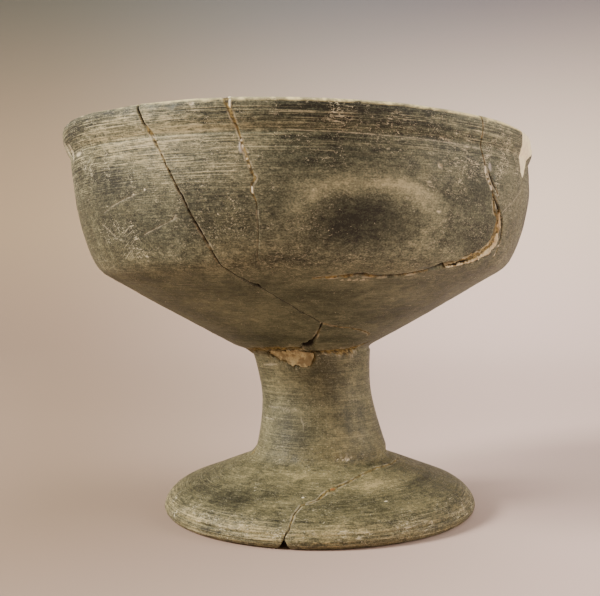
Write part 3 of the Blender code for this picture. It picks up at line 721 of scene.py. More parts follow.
def add_piece(name, mesh, material, node):
    """Put a mesh into the scene as a piece that stands for a solid."""
    piece = bpy.data.objects.new(name, mesh)
    bpy.context.scene.collection.objects.link(piece)
    mesh.materials.append(material)
    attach(piece, "root")
    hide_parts(node)


def distance_to(turn, track, angle, height, half_width, half_height):
    """How far vertices are from a place on the outside, as a share of its half width and half height."""
    centre = float(outside_track(height))
    across = (turn - math.radians(angle)) * radius_at(centre) / half_width
    return np.hypot(across, (track - centre) / half_height) / MM


def wheel_relief(clay):
    """The unevenness that hands and wheel left: slow waves, rings all around and the turned lines."""
    points, track = clay.points, clay.track
    wheel, hair = [np.column_stack([points[:, :2] * share, track]) for share in (0.05, 0.03)]
    lift = 0.16 * rough(points, 24 * MM, 2) + 0.08 * rough(points, 9 * MM, 3)
    lift += 0.05 * rough(wheel, 3.4 * MM, 4) + 0.035 * rough(wheel, 1.7 * MM, 5)
    lift *= 0.4 + 0.6 * clay.outside
    upper = clay.outside * np.interp(clay.height, [104, 110, 124, 126], [0, 1, 1, 0])
    lift += 0.05 * upper * rough(hair, 1.2 * MM, 6)
    for place, depth, width in TURNED_LINES:
        share = np.abs(track - outside_track(place)) / (0.5 * width * MM)
        fade = 0.65 + 0.5 * rough(points, 14 * MM, int(10 * place))
        lift -= depth * limited(1 - share) * np.clip(fade, 0.1, 1)
    return lift * MM


def close_to(clay, line, reach):
    """The vertices near a line: their places, stations, distances, and distances in half widths."""
    near, distance, station = beside(clay.points, line, reach)
    return near, clay.points[near], station, distance, np.abs(distance) / (0.5 * line.width[station])


def lay_on(look, key, near, amount):
    """Raise a look of some vertices to an amount, where it was less."""
    look[key][near] = np.maximum(look[key][near], amount)


def work_scratches(clay):
    """Scratch the clay, and lay it bare there."""
    for line in marks().scratches:
        near, places, _, _, out = close_to(clay, line, 2 * MM)
        share = limited(1.15 - out) * np.clip(0.75 + 0.8 * rough(places, 1.3 * MM, 33), 0.15, 1)
        clay.lift[near] -= 0.05 * MM * share
        lay_on(clay.look, "bare", near, 0.95 * share)


def work_seats(clay):
    """Sink the clay under the fillers that are let into it, lay glue there, and paint shadow along the seam.
    """
    for line in marks().seats:
        near, _, _, _, out = close_to(clay, line, 4 * MM)
        share = limited(1.2 - out)
        clay.lift[near] -= 1.0 * MM * limited(3 * share)
        lay_on(clay.look, "glue", near, limited(3 * share))
        lay_on(clay.look, "gap", near, 0.5 * limited(2.5 * share - 0.7))


def work_cracks(clay, depth):
    """Open the cracks, lay glue and chalk in them, paint shadow into their open parts, and set one side a
    hair lower than the other.
    """
    for name, line in marks().cracks.items():
        near, places, station, distance, out = close_to(clay, line, 4 * MM)
        width, glue, chalk = line.width[station], line.glue[station], line.chalk[station]
        spotty = rough(places, 1.0 * MM, 21)
        filled = limited(glue + chalk + 0.35 * spotty - 0.05)
        trough = limited(1.1 - out) ** 0.6
        bead = 0.10 * MM * (0.3 + rough(places, 0.8 * MM, 22)) * limited(1.5 - out)
        open_depth = depth * np.clip(width / (0.8 * MM), 0.4, 2.2)
        clay.lift[near] += -open_depth * trough * (1 - filled) + (bead - 0.12 * MM * trough) * filled
        if "joint" not in name:
            step = 0.05 * MM * limited(1.2 - np.abs(distance) / (3 * MM))
            clay.lift[near] += np.sign(distance) * step
        # Painted shadow: the near-black core and slit of the open cracks.
        core = limited(1.6 * (1.12 - out)) * (1 - filled)
        slit = limited(3.2 * (0.62 - out)) * np.clip(0.8 + 0.9 * rough(places, 2.1 * MM, 24), 0.1, 1)
        lay_on(clay.look, "gap", near, np.maximum(core, slit * (1.25 - glue) * (chalk < 0.3)))
        spread = limited(1.3 * (1.3 + 0.5 * spotty - out))
        lay_on(clay.look, "glue", near, spread * np.clip(1.3 * glue, 0.25 * (glue > 0), 1))
        patchy = limited(1.6 * chalk + 0.9 * rough(places, 0.7 * MM, 23) - 0.3)
        lay_on(clay.look, "chalk", near, spread * patchy * (chalk > 0))
        worn = limited(1 - np.abs(np.abs(distance) - 0.6 * width) / (0.35 * MM)) * limited(2 * glue - 0.2)
        lay_on(clay.look, "bare", near, worn * np.clip(0.3 + 1.4 * rough(places, 1.6 * MM, 25), 0, 0.8))


def work_spots(clay):
    """Sink or raise the spots, and give each the look of its kind."""
    for *place, depth, kind in SPOTS:
        away = distance_to(clay.turn, clay.track, *place)
        ragged = 0.3 * rough(clay.points, 0.9 * MM, 31) + 0.2 * rough(clay.points, 2.2 * MM, 32)
        away = away + ragged * (away < 2)
        clay.lift -= depth * MM * limited(1.25 * (1 - away))
        share = limited(2.5 * (1.08 - away))
        # A pit takes the near-black of the open cracks, painted shadow.
        key = {"pit": "gap", "white": "chalk"}.get(kind, kind)
        clay.look[key] = np.maximum(clay.look[key], share)
        if kind in ("white", "rust", "grey"):
            clay.look["gap"] *= 1 - share


def lay_smoke(clay, ragged):
    """Lay the smoke stain over the clay, with the pale halo and the dark arc around it."""
    angle, height, half_width, half_height = SMOKE
    away = distance_to(clay.turn, clay.track, *SMOKE) + 0.09 * ragged
    clay.look["smoke"] = clay.outside * (1 - eased((away - 0.3) / 0.75))
    bearing = np.arctan2((outside_track(height) - clay.track) / half_height,
                         (clay.turn - math.radians(angle)) * SMOKE_RADIUS / half_width)
    halo = hump(away, 1.18, 0.24) * np.clip(0.5 + 0.75 * np.cos(bearing - 1.6), 0.05, 1)
    clay.look["halo"] = clay.outside * halo
    arc = hump(away, 1.5, 0.08) * limited(2.2 * np.cos(bearing - 0.2) - 1)
    clay.look["shade"] -= 0.7 * clay.outside * arc


def lay_patches(clay, ragged):
    """Lay the soft patches over the clay: partly its own tone, partly painted light and shade."""
    for *place, tone in PATCHES:
        away = distance_to(clay.turn, clay.track, *place) + 0.12 * ragged
        away += 0.22 * rough(clay.points, 11 * MM, int(abs(place[0])) + 50)
        clay.look["shade"] += clay.outside * tone * np.exp(-1.2 * np.maximum(away, 0) ** 2)


def lay_streaks(clay):
    """How strongly the wheel's streaks and the fine mottling show, by height and side."""
    look, turn, height = clay.look, clay.turn, clay.height
    calm = 1 - 0.2 * look["smoke"] - 0.2 * look["halo"]
    streak = np.interp(height, [0, 3, 7, 9, 16, 21, 30, 50, 56, 60, 84, 100, 109, 124, 126.7],
                       [0.5, 0.7, 0.7, 0.35, 0.24, 0.22, 0.28, 0.26, 0.2, 0.16, 0.15, 0.22, 0.7, 1, 0.4])
    streak *= clay.outside * (1 - 0.6 * look["smoke"] - 0.5 * look["halo"])
    streak *= 1 + 0.3 * eased((-turn - 0.1) / 0.3)
    streak *= 1 - 0.6 * eased((turn + 0.35) / 0.4) * eased((117 - height) / 7) * (height > 90)
    detail = np.interp(height, [0, 7, 9, 19, 23, 50, 58, 78, 84, 104, 112],
                       [1, 1, 0.85, 0.8, 0.65, 0.6, 0.5, 0.5, 1, 1, 0.9])
    look["streak"] = streak
    look["detail"] = 1.12 * calm * np.where(clay.outside > 0, detail, 0.5)


def lay_warmth(clay):
    """How brown the clay is: more at the sides of the wall, painted less under the lip against warm bounced
    light, and greyer on the cone.
    """
    turn, height = clay.turn, clay.height
    warm = np.interp(height, [18, 26, 52, 60, 78, 86], [1, 0.5, 0.45, -0.5, -0.5, -0.4])
    sides = 0.35 * eased((0.05 - turn) / 0.35) + 0.45 * eased((-turn - 0.45) / 0.5)
    sides += 0.35 * eased((turn - 0.75) / 0.3)
    front = eased((2.4 - np.abs(turn)) / 0.6)
    warm += eased((height - 80) / 6) * (front * sides + 0.35 * (1 - front))
    # Painted against light: less brown in the hollow under the lip, where warm light bounces in.
    warm -= 0.3 * hump(height, 119.8, 2.2)
    clay.look["warm"] = np.where(clay.outside > 0, warm, 0.3)


def lay_flecks(clay, ragged):
    """How thick the pale flecks lie, and where they are drawn out into slanting scratches."""
    fleck = clay.outside * np.interp(clay.height, [0, 3, 7, 9, 14, 50, 84, 92, 104, 112, 126],
                                     [0.3, 0.4, 0.3, 0.2, 0.05, 0, 0.1, 0.22, 0.22, 0.35, 0.4])
    for *place, share in FLECKS:
        away = distance_to(clay.turn, clay.track, *place) + 0.2 * ragged
        fleck += clay.outside * share * np.exp(-0.9 * np.maximum(away, 0) ** 2)
    fleck *= 1 - 0.8 * clay.look["smoke"]
    clay.look["fleck"] = fleck
    clay.look["scratch"] = np.clip(0.8 * fleck - 0.2, 0, 0.5) * eased((-clay.turn - 0.3) / 0.2)
    along, slope = clay.turn * 0.075, 0.44
    clay.look["slanted"] = np.column_stack([0.9 * along - slope * clay.track,
                                            slope * along + 0.9 * clay.track, 0 * along])


def lay_lip(clay):
    """Where the edge of the lip is worn pale: a ragged band that reaches further down at the right."""
    worn_edge = 0.35 * rough(clay.points, 3.5 * MM, 53) + 0.25 * rough(clay.points, 1.2 * MM, 54)
    past = (clay.track - OUT.track[OUT.lip]) / MM + worn_edge
    reach = 2.9 + 1.15 * eased((clay.turn + 0.7) / 0.6)
    start = 0.12 * eased((past + 1.5) / 0.7) + 0.88 * eased((past - 1.2) / 0.9)
    clay.look["lip"] = eased((reach - past) / 0.3) * start * (0.6 + 0.4 * eased((clay.turn + 0.9) / 1.2))


def worked_clay(turn, track, settings):
    """The vertices of the body: how far each stands out of its skin, and what its material needs."""
    lip, ring = OUT.track[[OUT.lip, OUT.ring]]
    clay = SimpleNamespace(turn=turn, track=track, height=np.interp(track, OUT.track, OUT.height) / MM)
    clay.points, clay.outward = skin(turn, track)
    clay.outside = ((track > lip - 1 * MM) & (track < ring + 1 * MM)).astype(float)
    keys = ("gap", "glue", "chalk", "bare", "blue", "grey", "rust", "shade")
    clay.look = {key: np.zeros(len(turn)) for key in keys}
    clay.look["turned"] = np.column_stack([clay.points[:, :2], track])
    clay.lift = settings.relief * wheel_relief(clay)
    clay.lift[(track > ring - 0.5 * MM) & (track < ring + 6 * MM)] *= 0.1
    work_scratches(clay)
    work_seats(clay)
    work_cracks(clay, settings.crack_depth)
    work_spots(clay)
    ragged = rough(clay.points, 11 * MM, 51) + 0.6 * rough(clay.points, 4.5 * MM, 52)
    lay_smoke(clay, ragged)
    lay_patches(clay, ragged)
    lay_streaks(clay)
    lay_warmth(clay)
    lay_flecks(clay, ragged)
    lay_lip(clay)
    return clay


def notched(places, turn):
    """Raise whatever lies under the little gable of the notch in the foot's edge, or under the floor."""
    angles, heights = zip(*FOOT_NOTCH)
    gable = np.interp(np.degrees(turn), angles, heights, left=0, right=0) * MM
    places[:, 2] = np.maximum(places[:, 2], gable)
    return places


def make_vessel(settings):
    """The clay body: bowl, stem and foot in one, with the gap for the plaster cut through its wall."""
    verts, faces, in_gap, border = clay_sheet()
    clay = worked_clay(*verts.T, settings)
    clay.lift[border] = np.clip(clay.lift[border], -0.1 * MM, 0.05 * MM)
    places = notched(leaned(clay.points + clay.outward * clay.lift[:, None]), clay.turn)
    solid = [list(face) for face in faces[~in_gap]] + gap_walls(border)
    places, solid, look = with_middles(verts, places, solid, clay.look)
    seam_of = np.append(seam_map(verts), [len(verts), len(verts) + 1])
    return closed_mesh("vessel_fine", places, [[seam_of[i] for i in face] for face in solid], look)


def seam_map(verts):
    """For each vertex its own number, or on the seam at the back the number of its twin."""
    own = np.arange(len(verts))
    left, right = [np.flatnonzero(side * verts[:, 0] > math.pi - 1e-6) for side in (-1, 1)]
    own[right[np.argsort(verts[right, 1])]] = left[np.argsort(verts[left, 1])]
    return own


def with_middles(verts, places, solid, look):
    """Close the body at both ends of its outline with a fan around a vertex on the axis."""
    for end in (verts[:, 1].min(), verts[:, 1].max()):
        rim = np.flatnonzero(np.abs(verts[:, 1] - end) < 1e-9)
        rim = rim[np.argsort(verts[rim, 0])]
        solid += [[len(places), *pair] for pair in zip(rim, rim[1:])]
        places = np.vstack([places, places[rim[:-1]].mean(axis=0)])
        look = {key: np.concatenate([value, value[rim[:1]]]) for key, value in look.items()}
    return places, solid, look


def make_rim_fill():
    """The plaster in the rim's gap, a little lower than the clay and worked smooth by hand."""
    verts, faces, in_gap, border = clay_sheet()
    turn, track = verts.T
    points, outward = skin(turn, track)
    close = np.flatnonzero(np.abs(turn - GAP_TURN) < 0.5)
    away = np.linalg.norm((verts[close][:, None] - verts[border][None]) * SHEET_SCALE, axis=2).min(axis=1)
    depth = np.zeros(len(turn))
    depth[close] = limited(away / 2.5)
    outer = track > OUT.track[OUT.lip]
    lift = -0.12 - 0.5 * depth * outer * eased((turn - 1.05) / 0.25)
    lift += (0.10 * rough(points, 2.6 * MM, 8) + 0.04 * rough(points, 0.9 * MM, 9)) * depth
    places = leaned(points + outward * lift[:, None] * MM)
    solid = [list(face) for face in faces[in_gap]] + gap_walls(border)
    return closed_mesh("rim_fill_fine", places, solid, {"turned": np.column_stack([points[:, :2], track])})


def filler_profile(share, way, parting):
    """Height in mm of a filler's face. A parted one has glue on one side and a ridge on the other."""
    if not parting:
        return 0.12 * (1 - abs(share) ** 3) + 0 * way
    slit = 0.8 * hump(share, -0.02, 0.1) * eased((way / way[-1] - 0.62) / 0.2)
    return 0.55 * hump(share, 0.5, 0.33) - 0.25 * hump(share, -0.35, 0.45) - slit


def filler_row(line, share, parting, ragged, seed):
    """A row of a filler's lumpy face, along the line at a share of its half width."""
    edge = rough(line.trail, 1.0 * MM, seed + (1 if share < 0 else 2))
    edge = 1 + ragged * (edge + 0.5 * rough(line.trail, 0.5 * MM, seed + 5)) * min(1, abs(share) * 1.4)
    ends = np.clip(np.minimum(line.way, line.way[-1] - line.way) / (1.2 * MM), 0.15, 1)
    points, outward = skin(*shifted(line, line.side, share * 0.5 * line.width * edge * ends))
    lumps = 0.22 * rough(points, 1.3 * MM, seed + 3) + 0.24 * rough(points, 0.55 * MM, seed + 4)
    lift = filler_profile(share, line.way, parting) + lumps * (abs(share) < 0.95)
    lift -= 0.45 * (abs(share) > 0.99)
    return points + outward * lift[:, None] * MM


def make_filler(name, path, depth, parting, ragged, seed):
    """A filler let into the clay: a band with a lumpy face that follows its seat."""
    line = stroke(path, 0.3 * MM, 0, seed)
    front = [-1, -0.93, *np.linspace(-0.84, 0.84, 15), 0.93, 1]
    back = [0.8, 0, -0.8]
    rows = [filler_row(line, share, parting, ragged, seed) for share in front]
    for share in back:
        points, outward = skin(*shifted(line, line.side, share * 0.45 * line.width))
        rows.append(points - outward * depth * MM)
    places = leaned(np.vstack(rows))
    grid = np.arange(len(places)).reshape(len(rows), -1)
    faces = []
    for row, following in zip(grid, np.roll(grid, -1, axis=0)):
        faces += [[row[k], row[k + 1], following[k + 1], following[k]] for k in range(len(row) - 1)]
    faces += [list(grid[:, 0]), list(grid[::-1, -1])]
    look = {"turned": places, "across": np.repeat([*front, *back], len(line.way)),
            "along": np.tile(line.way / line.way[-1], len(rows))}
    return closed_mesh(name, places, faces, look)


class Wire:
    """A value that runs between shader nodes and can be reckoned with. first | second is the larger one."""

    def __init__(self, nodes, socket):
        self.nodes = nodes
        self.socket = socket

    def __add__(self, other):
        return self.nodes.math("ADD", self, other)

    def __sub__(self, other):
        return self.nodes.math("SUBTRACT", self, other)

    def __rsub__(self, other):
        return self.nodes.math("SUBTRACT", other, self)

    def __mul__(self, other):
        return self.nodes.math("MULTIPLY", self, other)

    def __truediv__(self, other):
        return self.nodes.math("DIVIDE", self, other)

    def __or__(self, other):
        return self.nodes.math("MAXIMUM", self, other)

    def __abs__(self):
        return self.nodes.math("ABSOLUTE", self)


class NodeTree:
    """A new material, to which each method adds a shader node and gives the wire that leaves it."""

    def __init__(self, name):
        self.material = bpy.data.materials.new(name)
        self.material.use_nodes = True
        self.tree = self.material.node_tree
        self.shader = self.tree.nodes["Principled BSDF"]
        self.count = 0

    def add(self, kind, out, inputs, **settings):
        node = self.tree.nodes.new(kind)
        self.count += 1
        node.location = (-220 * (self.count % 9) - 300, -180 * (self.count // 9))
        for key, value in settings.items():
            setattr(node, key, value)
        for key, value in inputs.items():
            self.feed(node.inputs[key], value)
        return Wire(self, node.outputs[out])

    def feed(self, socket, value):
        if isinstance(value, Wire):
            self.tree.links.new(value.socket, socket)
        else:
            socket.default_value = (*value, 1) if socket.type == "RGBA" else value

    def value(self, name, out="Fac"):
        return self.add("ShaderNodeAttribute", out, {}, attribute_name=name)

    def noise(self, place, scale, detail=2, roughness=0.6, distortion=0):
        if isinstance(scale, tuple):
            place = self.add("ShaderNodeVectorMath", 0, {0: place, 1: scale}, operation="MULTIPLY")
            scale = 1
        return self.add("ShaderNodeTexNoise", "Fac", {"Vector": place, "Scale": scale, "Detail": detail,
                                                      "Roughness": roughness, "Distortion": distortion})

    def math(self, operation, first, second=0, clamp=False):
        return self.add("ShaderNodeMath", 0, {0: first, 1: second}, operation=operation, use_clamp=clamp)

    def spread(self, value, low, high, to_low=0, to_high=1):
        limits = {"From Min": low, "From Max": high, "To Min": to_low, "To Max": to_high}
        return self.add("ShaderNodeMapRange", "Result", {"Value": value, **limits},
                        interpolation_type="SMOOTHSTEP")

    def mix(self, share, first, second, blend="MIX"):
        colors = {0: share, 6: first, 7: second}
        return self.add("ShaderNodeMix", 2, colors, data_type="RGBA", blend_type=blend)

    def layered(self, color, layers):
        """Lay colours over each other, each where and as strongly as its share says."""
        for share, layer in layers:
            color = self.mix(share, color, layer)
        return color

    def finished(self, color, roughness, specular, relief=None, strength=0, distance=0):
        """Wire the colour, the roughness and the relief to the shader."""
        looks = {"Base Color": color, "Roughness": roughness, "Specular IOR Level": specular}
        if relief:
            looks["Normal"] = self.add("ShaderNodeBump", "Normal",
                                       {"Strength": strength, "Distance": distance, "Height": relief})
        for key, value in looks.items():
            self.feed(self.shader.inputs[key], value)
        return self.material


def clay_tone(nodes, place, line, dash):
    """Tone of the clay from 0 to 1: clouds, mottling and grain, with the wheel's lines where they show."""
    band = nodes.noise(place, (20, 20, 750), 2, 0.6, 0.1)
    clouds = [(nodes.noise(place, 60, 3, 0.55), 0.6), (nodes.noise(place, 260, 3), 0.55)]
    mottling = [(nodes.noise(place, (430, 430, 946), 3, 0.68), 0.8),
                (nodes.noise(place, (1900, 1900, 2500)), 0.95)]
    # The soft patches that shade carries are partly painted light and shade.
    tone = nodes.value("shade") * 0.26 + 0.47
    for part, weight in clouds:
        tone += (part - 0.5) * weight
    for part, weight in mottling:
        tone += (part - 0.5) * weight * nodes.value("detail")
    for part, weight in ((line, 1.5), (band, 0.4), (dash, 1.05)):
        tone += (part - 0.5) * weight * nodes.value("streak")
    tone += nodes.value("halo") * 0.37
    return nodes.math("SUBTRACT", tone, nodes.value("smoke") * 0.33, clamp=True)


def clay_color(nodes, place, tone, settings):
    """Colour of the clay by its tone, browner or greyer in places."""
    # The tone carries the soft patches, so the darkest and palest stops also colour painted shadow and
    # painted light.
    stops = ((0, settings.black_clay), (0.34, settings.dark_clay), (0.58, settings.middle_clay),
             (0.80, settings.pale_clay), (1, settings.worn_clay))
    color = nodes.add("ShaderNodeValToRGB", "Color", {"Fac": tone})
    elements = color.socket.node.color_ramp.elements
    while len(elements) < len(stops):
        elements.new(0.5)
    for element, (position, shade) in zip(elements, stops):
        element.position = position
        element.color = (*shade, 1)
    clouds = nodes.spread(nodes.noise(place, 42, 3), 0.35, 0.7)
    warm = nodes.math("ADD", clouds * 0.36, nodes.value("warm"), clamp=True)
    cool = nodes.math("MULTIPLY", nodes.value("warm"), -1, clamp=True)
    for share, shade in ((warm, settings.warm_tint), (cool, COOL_TINT)):
        color = nodes.mix(share, color, nodes.mix(1, color, shade, "MULTIPLY"))
    return color


def pale_marks(nodes, place, line, dash, grainy):
    """Where the wheel's streaks, the fine dust and the flecks and scratches lie on the clay."""
    worn = nodes.spread(nodes.noise(place, 110, 3, 0.65), 0.42, 0.62) * nodes.spread(grainy, 0.3, 0.5)
    streak = nodes.spread(line, 0.57, 0.68) * nodes.value("streak") * worn
    clumps = nodes.spread(nodes.noise(place, 140), 0.42, 0.62)
    dust = nodes.spread(nodes.noise(place, (1300, 1300, 2340), 2, 0.65, 0.8), 0.58, 0.67)
    dust = dust * nodes.value("detail") * 0.38 * (clumps * 0.7 + 0.3)
    dust = dust * nodes.spread(nodes.value("smoke"), 0, 0.7, 1, 0.15)
    limit = 0.69 - nodes.value("fleck") * 0.11
    speck = nodes.noise(place, (1100, 1100, 1540), 2, 0.6, 1.6)
    scratch = nodes.noise(nodes.value("slanted", "Vector"), (100, 2600, 0), 2, 0.6, 0.3)
    scratch = nodes.spread(scratch - limit, -0.02, 0.05) * nodes.value("scratch")
    scratch = scratch * nodes.spread(nodes.noise(place, 90, 2, 0.5), 0.5, 0.62)
    dashes = nodes.spread(dash, 0.60, 0.69) * nodes.spread(nodes.value("fleck"), 0.25, 0.9)
    fleck = nodes.spread(speck - limit, 0, 0.04) * clumps | scratch | dashes * clumps
    return streak, dust, fleck


def clay_material(settings):
    """Burnished grey-brown pottery with wheel streaks, pale flecks, bare chips, open cracks and glue."""
    nodes = NodeTree("burnished_clay")
    place = nodes.value("turned", "Vector")
    mottled, grainy = nodes.noise(place, 260, 3), nodes.noise(place, 2000)
    line = nodes.noise(place, (45, 45, 3600), 2, 0.6, 0.1)
    dash = nodes.noise(place, (330, 330, 1700), 2, 0.6, 0.4)
    color = clay_color(nodes, place, clay_tone(nodes, place, line, dash), settings)
    streak, dust, fleck = pale_marks(nodes, place, line, dash, grainy)
    chip = nodes.value("bare") * nodes.spread(grainy, 0.3, 0.6, 0.5, 1)
    thin = nodes.spread(nodes.noise(place, 900), 0.36, 0.64)
    glue = nodes.mix(thin, settings.glue_dark, settings.glue_pale)
    # The gap value is painted shadow in open cracks, pits and along the fillers' seams.
    gap = nodes.value("gap")
    color = nodes.layered(color, [
        (streak * 0.6, settings.streak_color),
        (dust, settings.fleck_color),
        (fleck * 0.9, settings.fleck_color),
        (nodes.value("lip") * nodes.spread(mottled, 0.38, 0.56, 0.35, 0.95), settings.lip_color),
        (chip, settings.bare_color),
        (nodes.value("blue") * 0.6, settings.blue_clay),
        (nodes.value("grey") * 0.85, settings.grey_clay),
        (nodes.value("glue"), glue),
        (nodes.value("rust") * 0.8, settings.rust_color),
        (nodes.spread(nodes.value("chalk"), 0.25, 0.7), settings.chalk_color),
        (nodes.spread(gap, 0.15, 0.75), settings.crack_shadow_color)])
    roughness = nodes.spread(mottled, 0.3, 0.7, 0.50, 0.68) | (streak | fleck | gap | chip) * 0.85
    relief = line * nodes.value("streak") + grainy * 0.4 + dash * 0.4 + fleck * 0.4
    return nodes.finished(color, roughness, 0.24, relief, 0.7, 0.25 * MM)


def plaster_material(name, settings, pale, dark, parted):
    """A matt filler in two tones, with painted shade in its pores and hollows. A parted one is brown glue on
    its one side and granular on the other, with painted shadow in its open slit.
    """
    nodes = NodeTree(name)
    place = nodes.value("turned", "Vector")
    lumps, grain = nodes.noise(place, 420, 3), nodes.noise(place, 1700)
    ribs = nodes.noise(place, (1500, 1500, 420), 2, 0.6, 0.3)
    # Painted shade: the pores and the hollows between the lumps take the darker tone.
    pore = nodes.spread(grain, 0.58, 0.68) | nodes.spread(ribs, 0.54, 0.66)
    layers = [(nodes.spread(lumps, 0.40, 0.58), pale), (pore * 0.6, dark)]
    if parted:
        wavy = nodes.value("across") + (lumps - 0.5) * 1.6
        glue = nodes.mix(nodes.spread(grain, 0.4, 0.6), settings.glue_dark, settings.glue_pale)
        slit = nodes.spread(nodes.value("along"), 0.62, 0.8) * nodes.spread(abs(wavy + 0.02), 0.3, 0.12)
        layers += [(nodes.spread(wavy, 0.30, 0.05) * 0.9, glue),
                   (nodes.spread(wavy, -0.62, -0.85) * 0.7, pale), (slit, settings.slit_shadow_color)]
    return nodes.finished(nodes.layered(dark, layers), 0.88, 0.25, lumps + grain * 0.4, 0.9, 0.4 * MM)


def tint(name, color, description):
    """A colour for the settings."""
    return bpy.props.FloatVectorProperty(name=name, description=description, subtype="COLOR",
                                         size=3, min=0, max=1, default=color)


def power(name, watts, description):
    """The power of a light for the settings."""
    return bpy.props.FloatProperty(name=name, description=description, subtype="POWER", min=0, default=watts)


class BowlClaySettings(bpy.types.PropertyGroup):
    """Relief and colours of the clay."""
    relief: bpy.props.FloatProperty(
        name="Relief", description="Strength of the unevenness that the wheel left",
        default=1, min=0, max=3, subtype="FACTOR")
    crack_depth: bpy.props.FloatProperty(
        name="Crack depth", description="Depth of an open crack", default=0.9 * MM, unit="LENGTH")
    # The darkest and palest clay colours also serve the painted shadow and painted light of the soft
    # patches.
    black_clay: tint("Smoked clay", (0.0205, 0.0198, 0.013), "Colour of the darkest clay")
    dark_clay: tint("Dark clay", (0.0745, 0.0735, 0.0455), "Colour of the dark mottles")
    middle_clay: tint("Clay", (0.159, 0.153, 0.094), "Colour of most of the clay")
    pale_clay: tint("Pale clay", (0.289, 0.262, 0.156), "Colour of the pale mottles")
    worn_clay: tint("Worn clay", (0.475, 0.405, 0.24), "Colour of the palest clay")
    warm_tint: tint("Warm tint", (1, 0.91, 0.74), "Tint of the browner places")
    streak_color: tint("Wheel streaks", (0.56, 0.49, 0.305), "Colour of the streaks that the wheel left")
    lip_color: tint("Worn lip", (0.9, 0.75, 0.38), "Colour of the worn edge of the lip")
    fleck_color: tint("Flecks", (0.665, 0.59, 0.405), "Colour of the pale flecks")
    bare_color: tint("Bare clay", (0.6, 0.52, 0.36), "Colour of the clay in chips and scratches")
    blue_clay: tint("Blue flakes", (0.1, 0.115, 0.1), "Colour of the bluish flakes")
    grey_clay: tint("Grey flakes", (0.4, 0.36, 0.32), "Colour of the grey flakes")
    # Painted shadow inside open cracks, pits and along the fillers' seams.
    crack_shadow_color: tint("Open cracks", (0.012, 0.008, 0.005), "Colour inside the open cracks")


class BowlRepairSettings(bpy.types.PropertyGroup):
    """Colours of the restorer's materials."""
    glue_dark: tint("Dark glue", (0.05, 0.034, 0.01), "Colour of thick adhesive")
    glue_pale: tint("Pale glue", (0.27, 0.195, 0.066), "Colour of thin adhesive")
    chalk_color: tint("Chalk", (0.74, 0.66, 0.48), "Colour of plaster dust and blobs")
    rust_color: tint("Rust", (0.33, 0.13, 0.045), "Colour of the rusty blob on the foot")
    plaster_pale: tint("Plaster", (0.99, 0.885, 0.56), "Colour of the plaster at the rim")
    # The darker filler colours are painted shade in the pores and hollows.
    plaster_dark: tint("Shaded plaster", (0.86, 0.73, 0.5), "Colour of its pores and hollows")
    tan_pale: tint("Tan filler", (0.66, 0.55, 0.34), "Colour of the filler in the wide crack")
    tan_dark: tint("Dark tan filler", (0.34, 0.24, 0.12), "Colour of its hollows")
    # Painted shadow in the open slit.
    slit_shadow_color: tint("Slit", (0.015, 0.009, 0.004), "Colour of the open slit beside it")
    beige_pale: tint("Beige filler", (0.5, 0.415, 0.225), "Colour of the filler on the stem")
    beige_dark: tint("Dark beige filler", (0.26, 0.2, 0.105), "Colour of its hollows")


class BowlStageSettings(bpy.types.PropertyGroup):
    """Floor, lights and camera."""
    # The floor and backdrop colours paint the fall of light across them: darker to the left and paler to the
    # right.
    floor_left: tint("Floor, left", (0.335, 0.236, 0.167), "Colour of the floor at the left")
    floor_right: tint("Floor, right", (0.735, 0.545, 0.485), "Colour of the floor at the right")
    wall_left: tint("Backdrop, left", (0.385, 0.278, 0.175), "Colour of the backdrop at the left")
    wall_right: tint("Backdrop, right", (0.725, 0.565, 0.452), "Colour of the backdrop at the right")
    # Painted light on the backdrop behind the main light.
    wall_side: tint("Backdrop, side", (0.72, 0.64, 0.56), "Colour of the backdrop behind the main light")
    # Painted shade at the top of the backdrop, tinted.
    shade_left: tint("Top, left", (0.34, 0.46, 0.6), "Tint of the backdrop's top at the left")
    shade_right: tint("Top, right", (0.21, 0.24, 0.315), "Tint of the backdrop's top at the right")
    key_light: power("Key light", 29.5, "Power of the main light")
    fill_light: power("Fill light", 8.8, "Power of the light from the right")
    top_light: power("Top light", 6.5, "Power of the light from above")
    backdrop_light: power("Backdrop light", 13, "Power of the light on the backdrop")
    lens: bpy.props.FloatProperty(
        name="Lens", description="Focal length of the camera in millimetres",
        default=50.88, min=10, max=200, unit="CAMERA")


def all_settings():
    """The settings of all groups in one place, as plain values."""
    values = {}
    for name, kind in GROUPS.items():
        for key in kind.__annotations__:
            value = getattr(getattr(bpy.context.scene, name), key)
            values[key] = value if isinstance(value, float) else tuple(value)
    return SimpleNamespace(**values)


class BOWL_OT_vessel(bpy.types.Operator):
    """Make the clay body"""
    bl_idname = "bowl.vessel"
    bl_label = "Vessel"

    def execute(self, context):
        settings = all_settings()
        add_piece("vessel_fine", make_vessel(settings), clay_material(settings), "vessel")
        return {"FINISHED"}


class BOWL_OT_rim_fill(bpy.types.Operator):
    """Make the plaster in the rim's gap"""
    bl_idname = "bowl.rim_fill"
    bl_label = "Rim fill"

    def execute(self, context):
        settings = all_settings()
        shades = (settings.plaster_pale, settings.plaster_dark)
        material = plaster_material("white_plaster", settings, *shades, False)
        add_piece("rim_fill_fine", make_rim_fill(), material, "rim_fill")
        return {"FINISHED"}


class BOWL_OT_crack_fill(bpy.types.Operator):
    """Make the filler in the wide crack above the shoulder"""
    bl_idname = "bowl.crack_fill"
    bl_label = "Crack fill"

    def execute(self, context):
        settings = all_settings()
        mesh = make_filler("crack_fill_fine", CRACK_FILLER, 1.4, True, 0.22, 80)
        shades = (settings.tan_pale, settings.tan_dark)
        material = plaster_material("tan_filler", settings, *shades, True)
        add_piece("crack_fill_fine", mesh, material, "crack_fill")
        return {"FINISHED"}


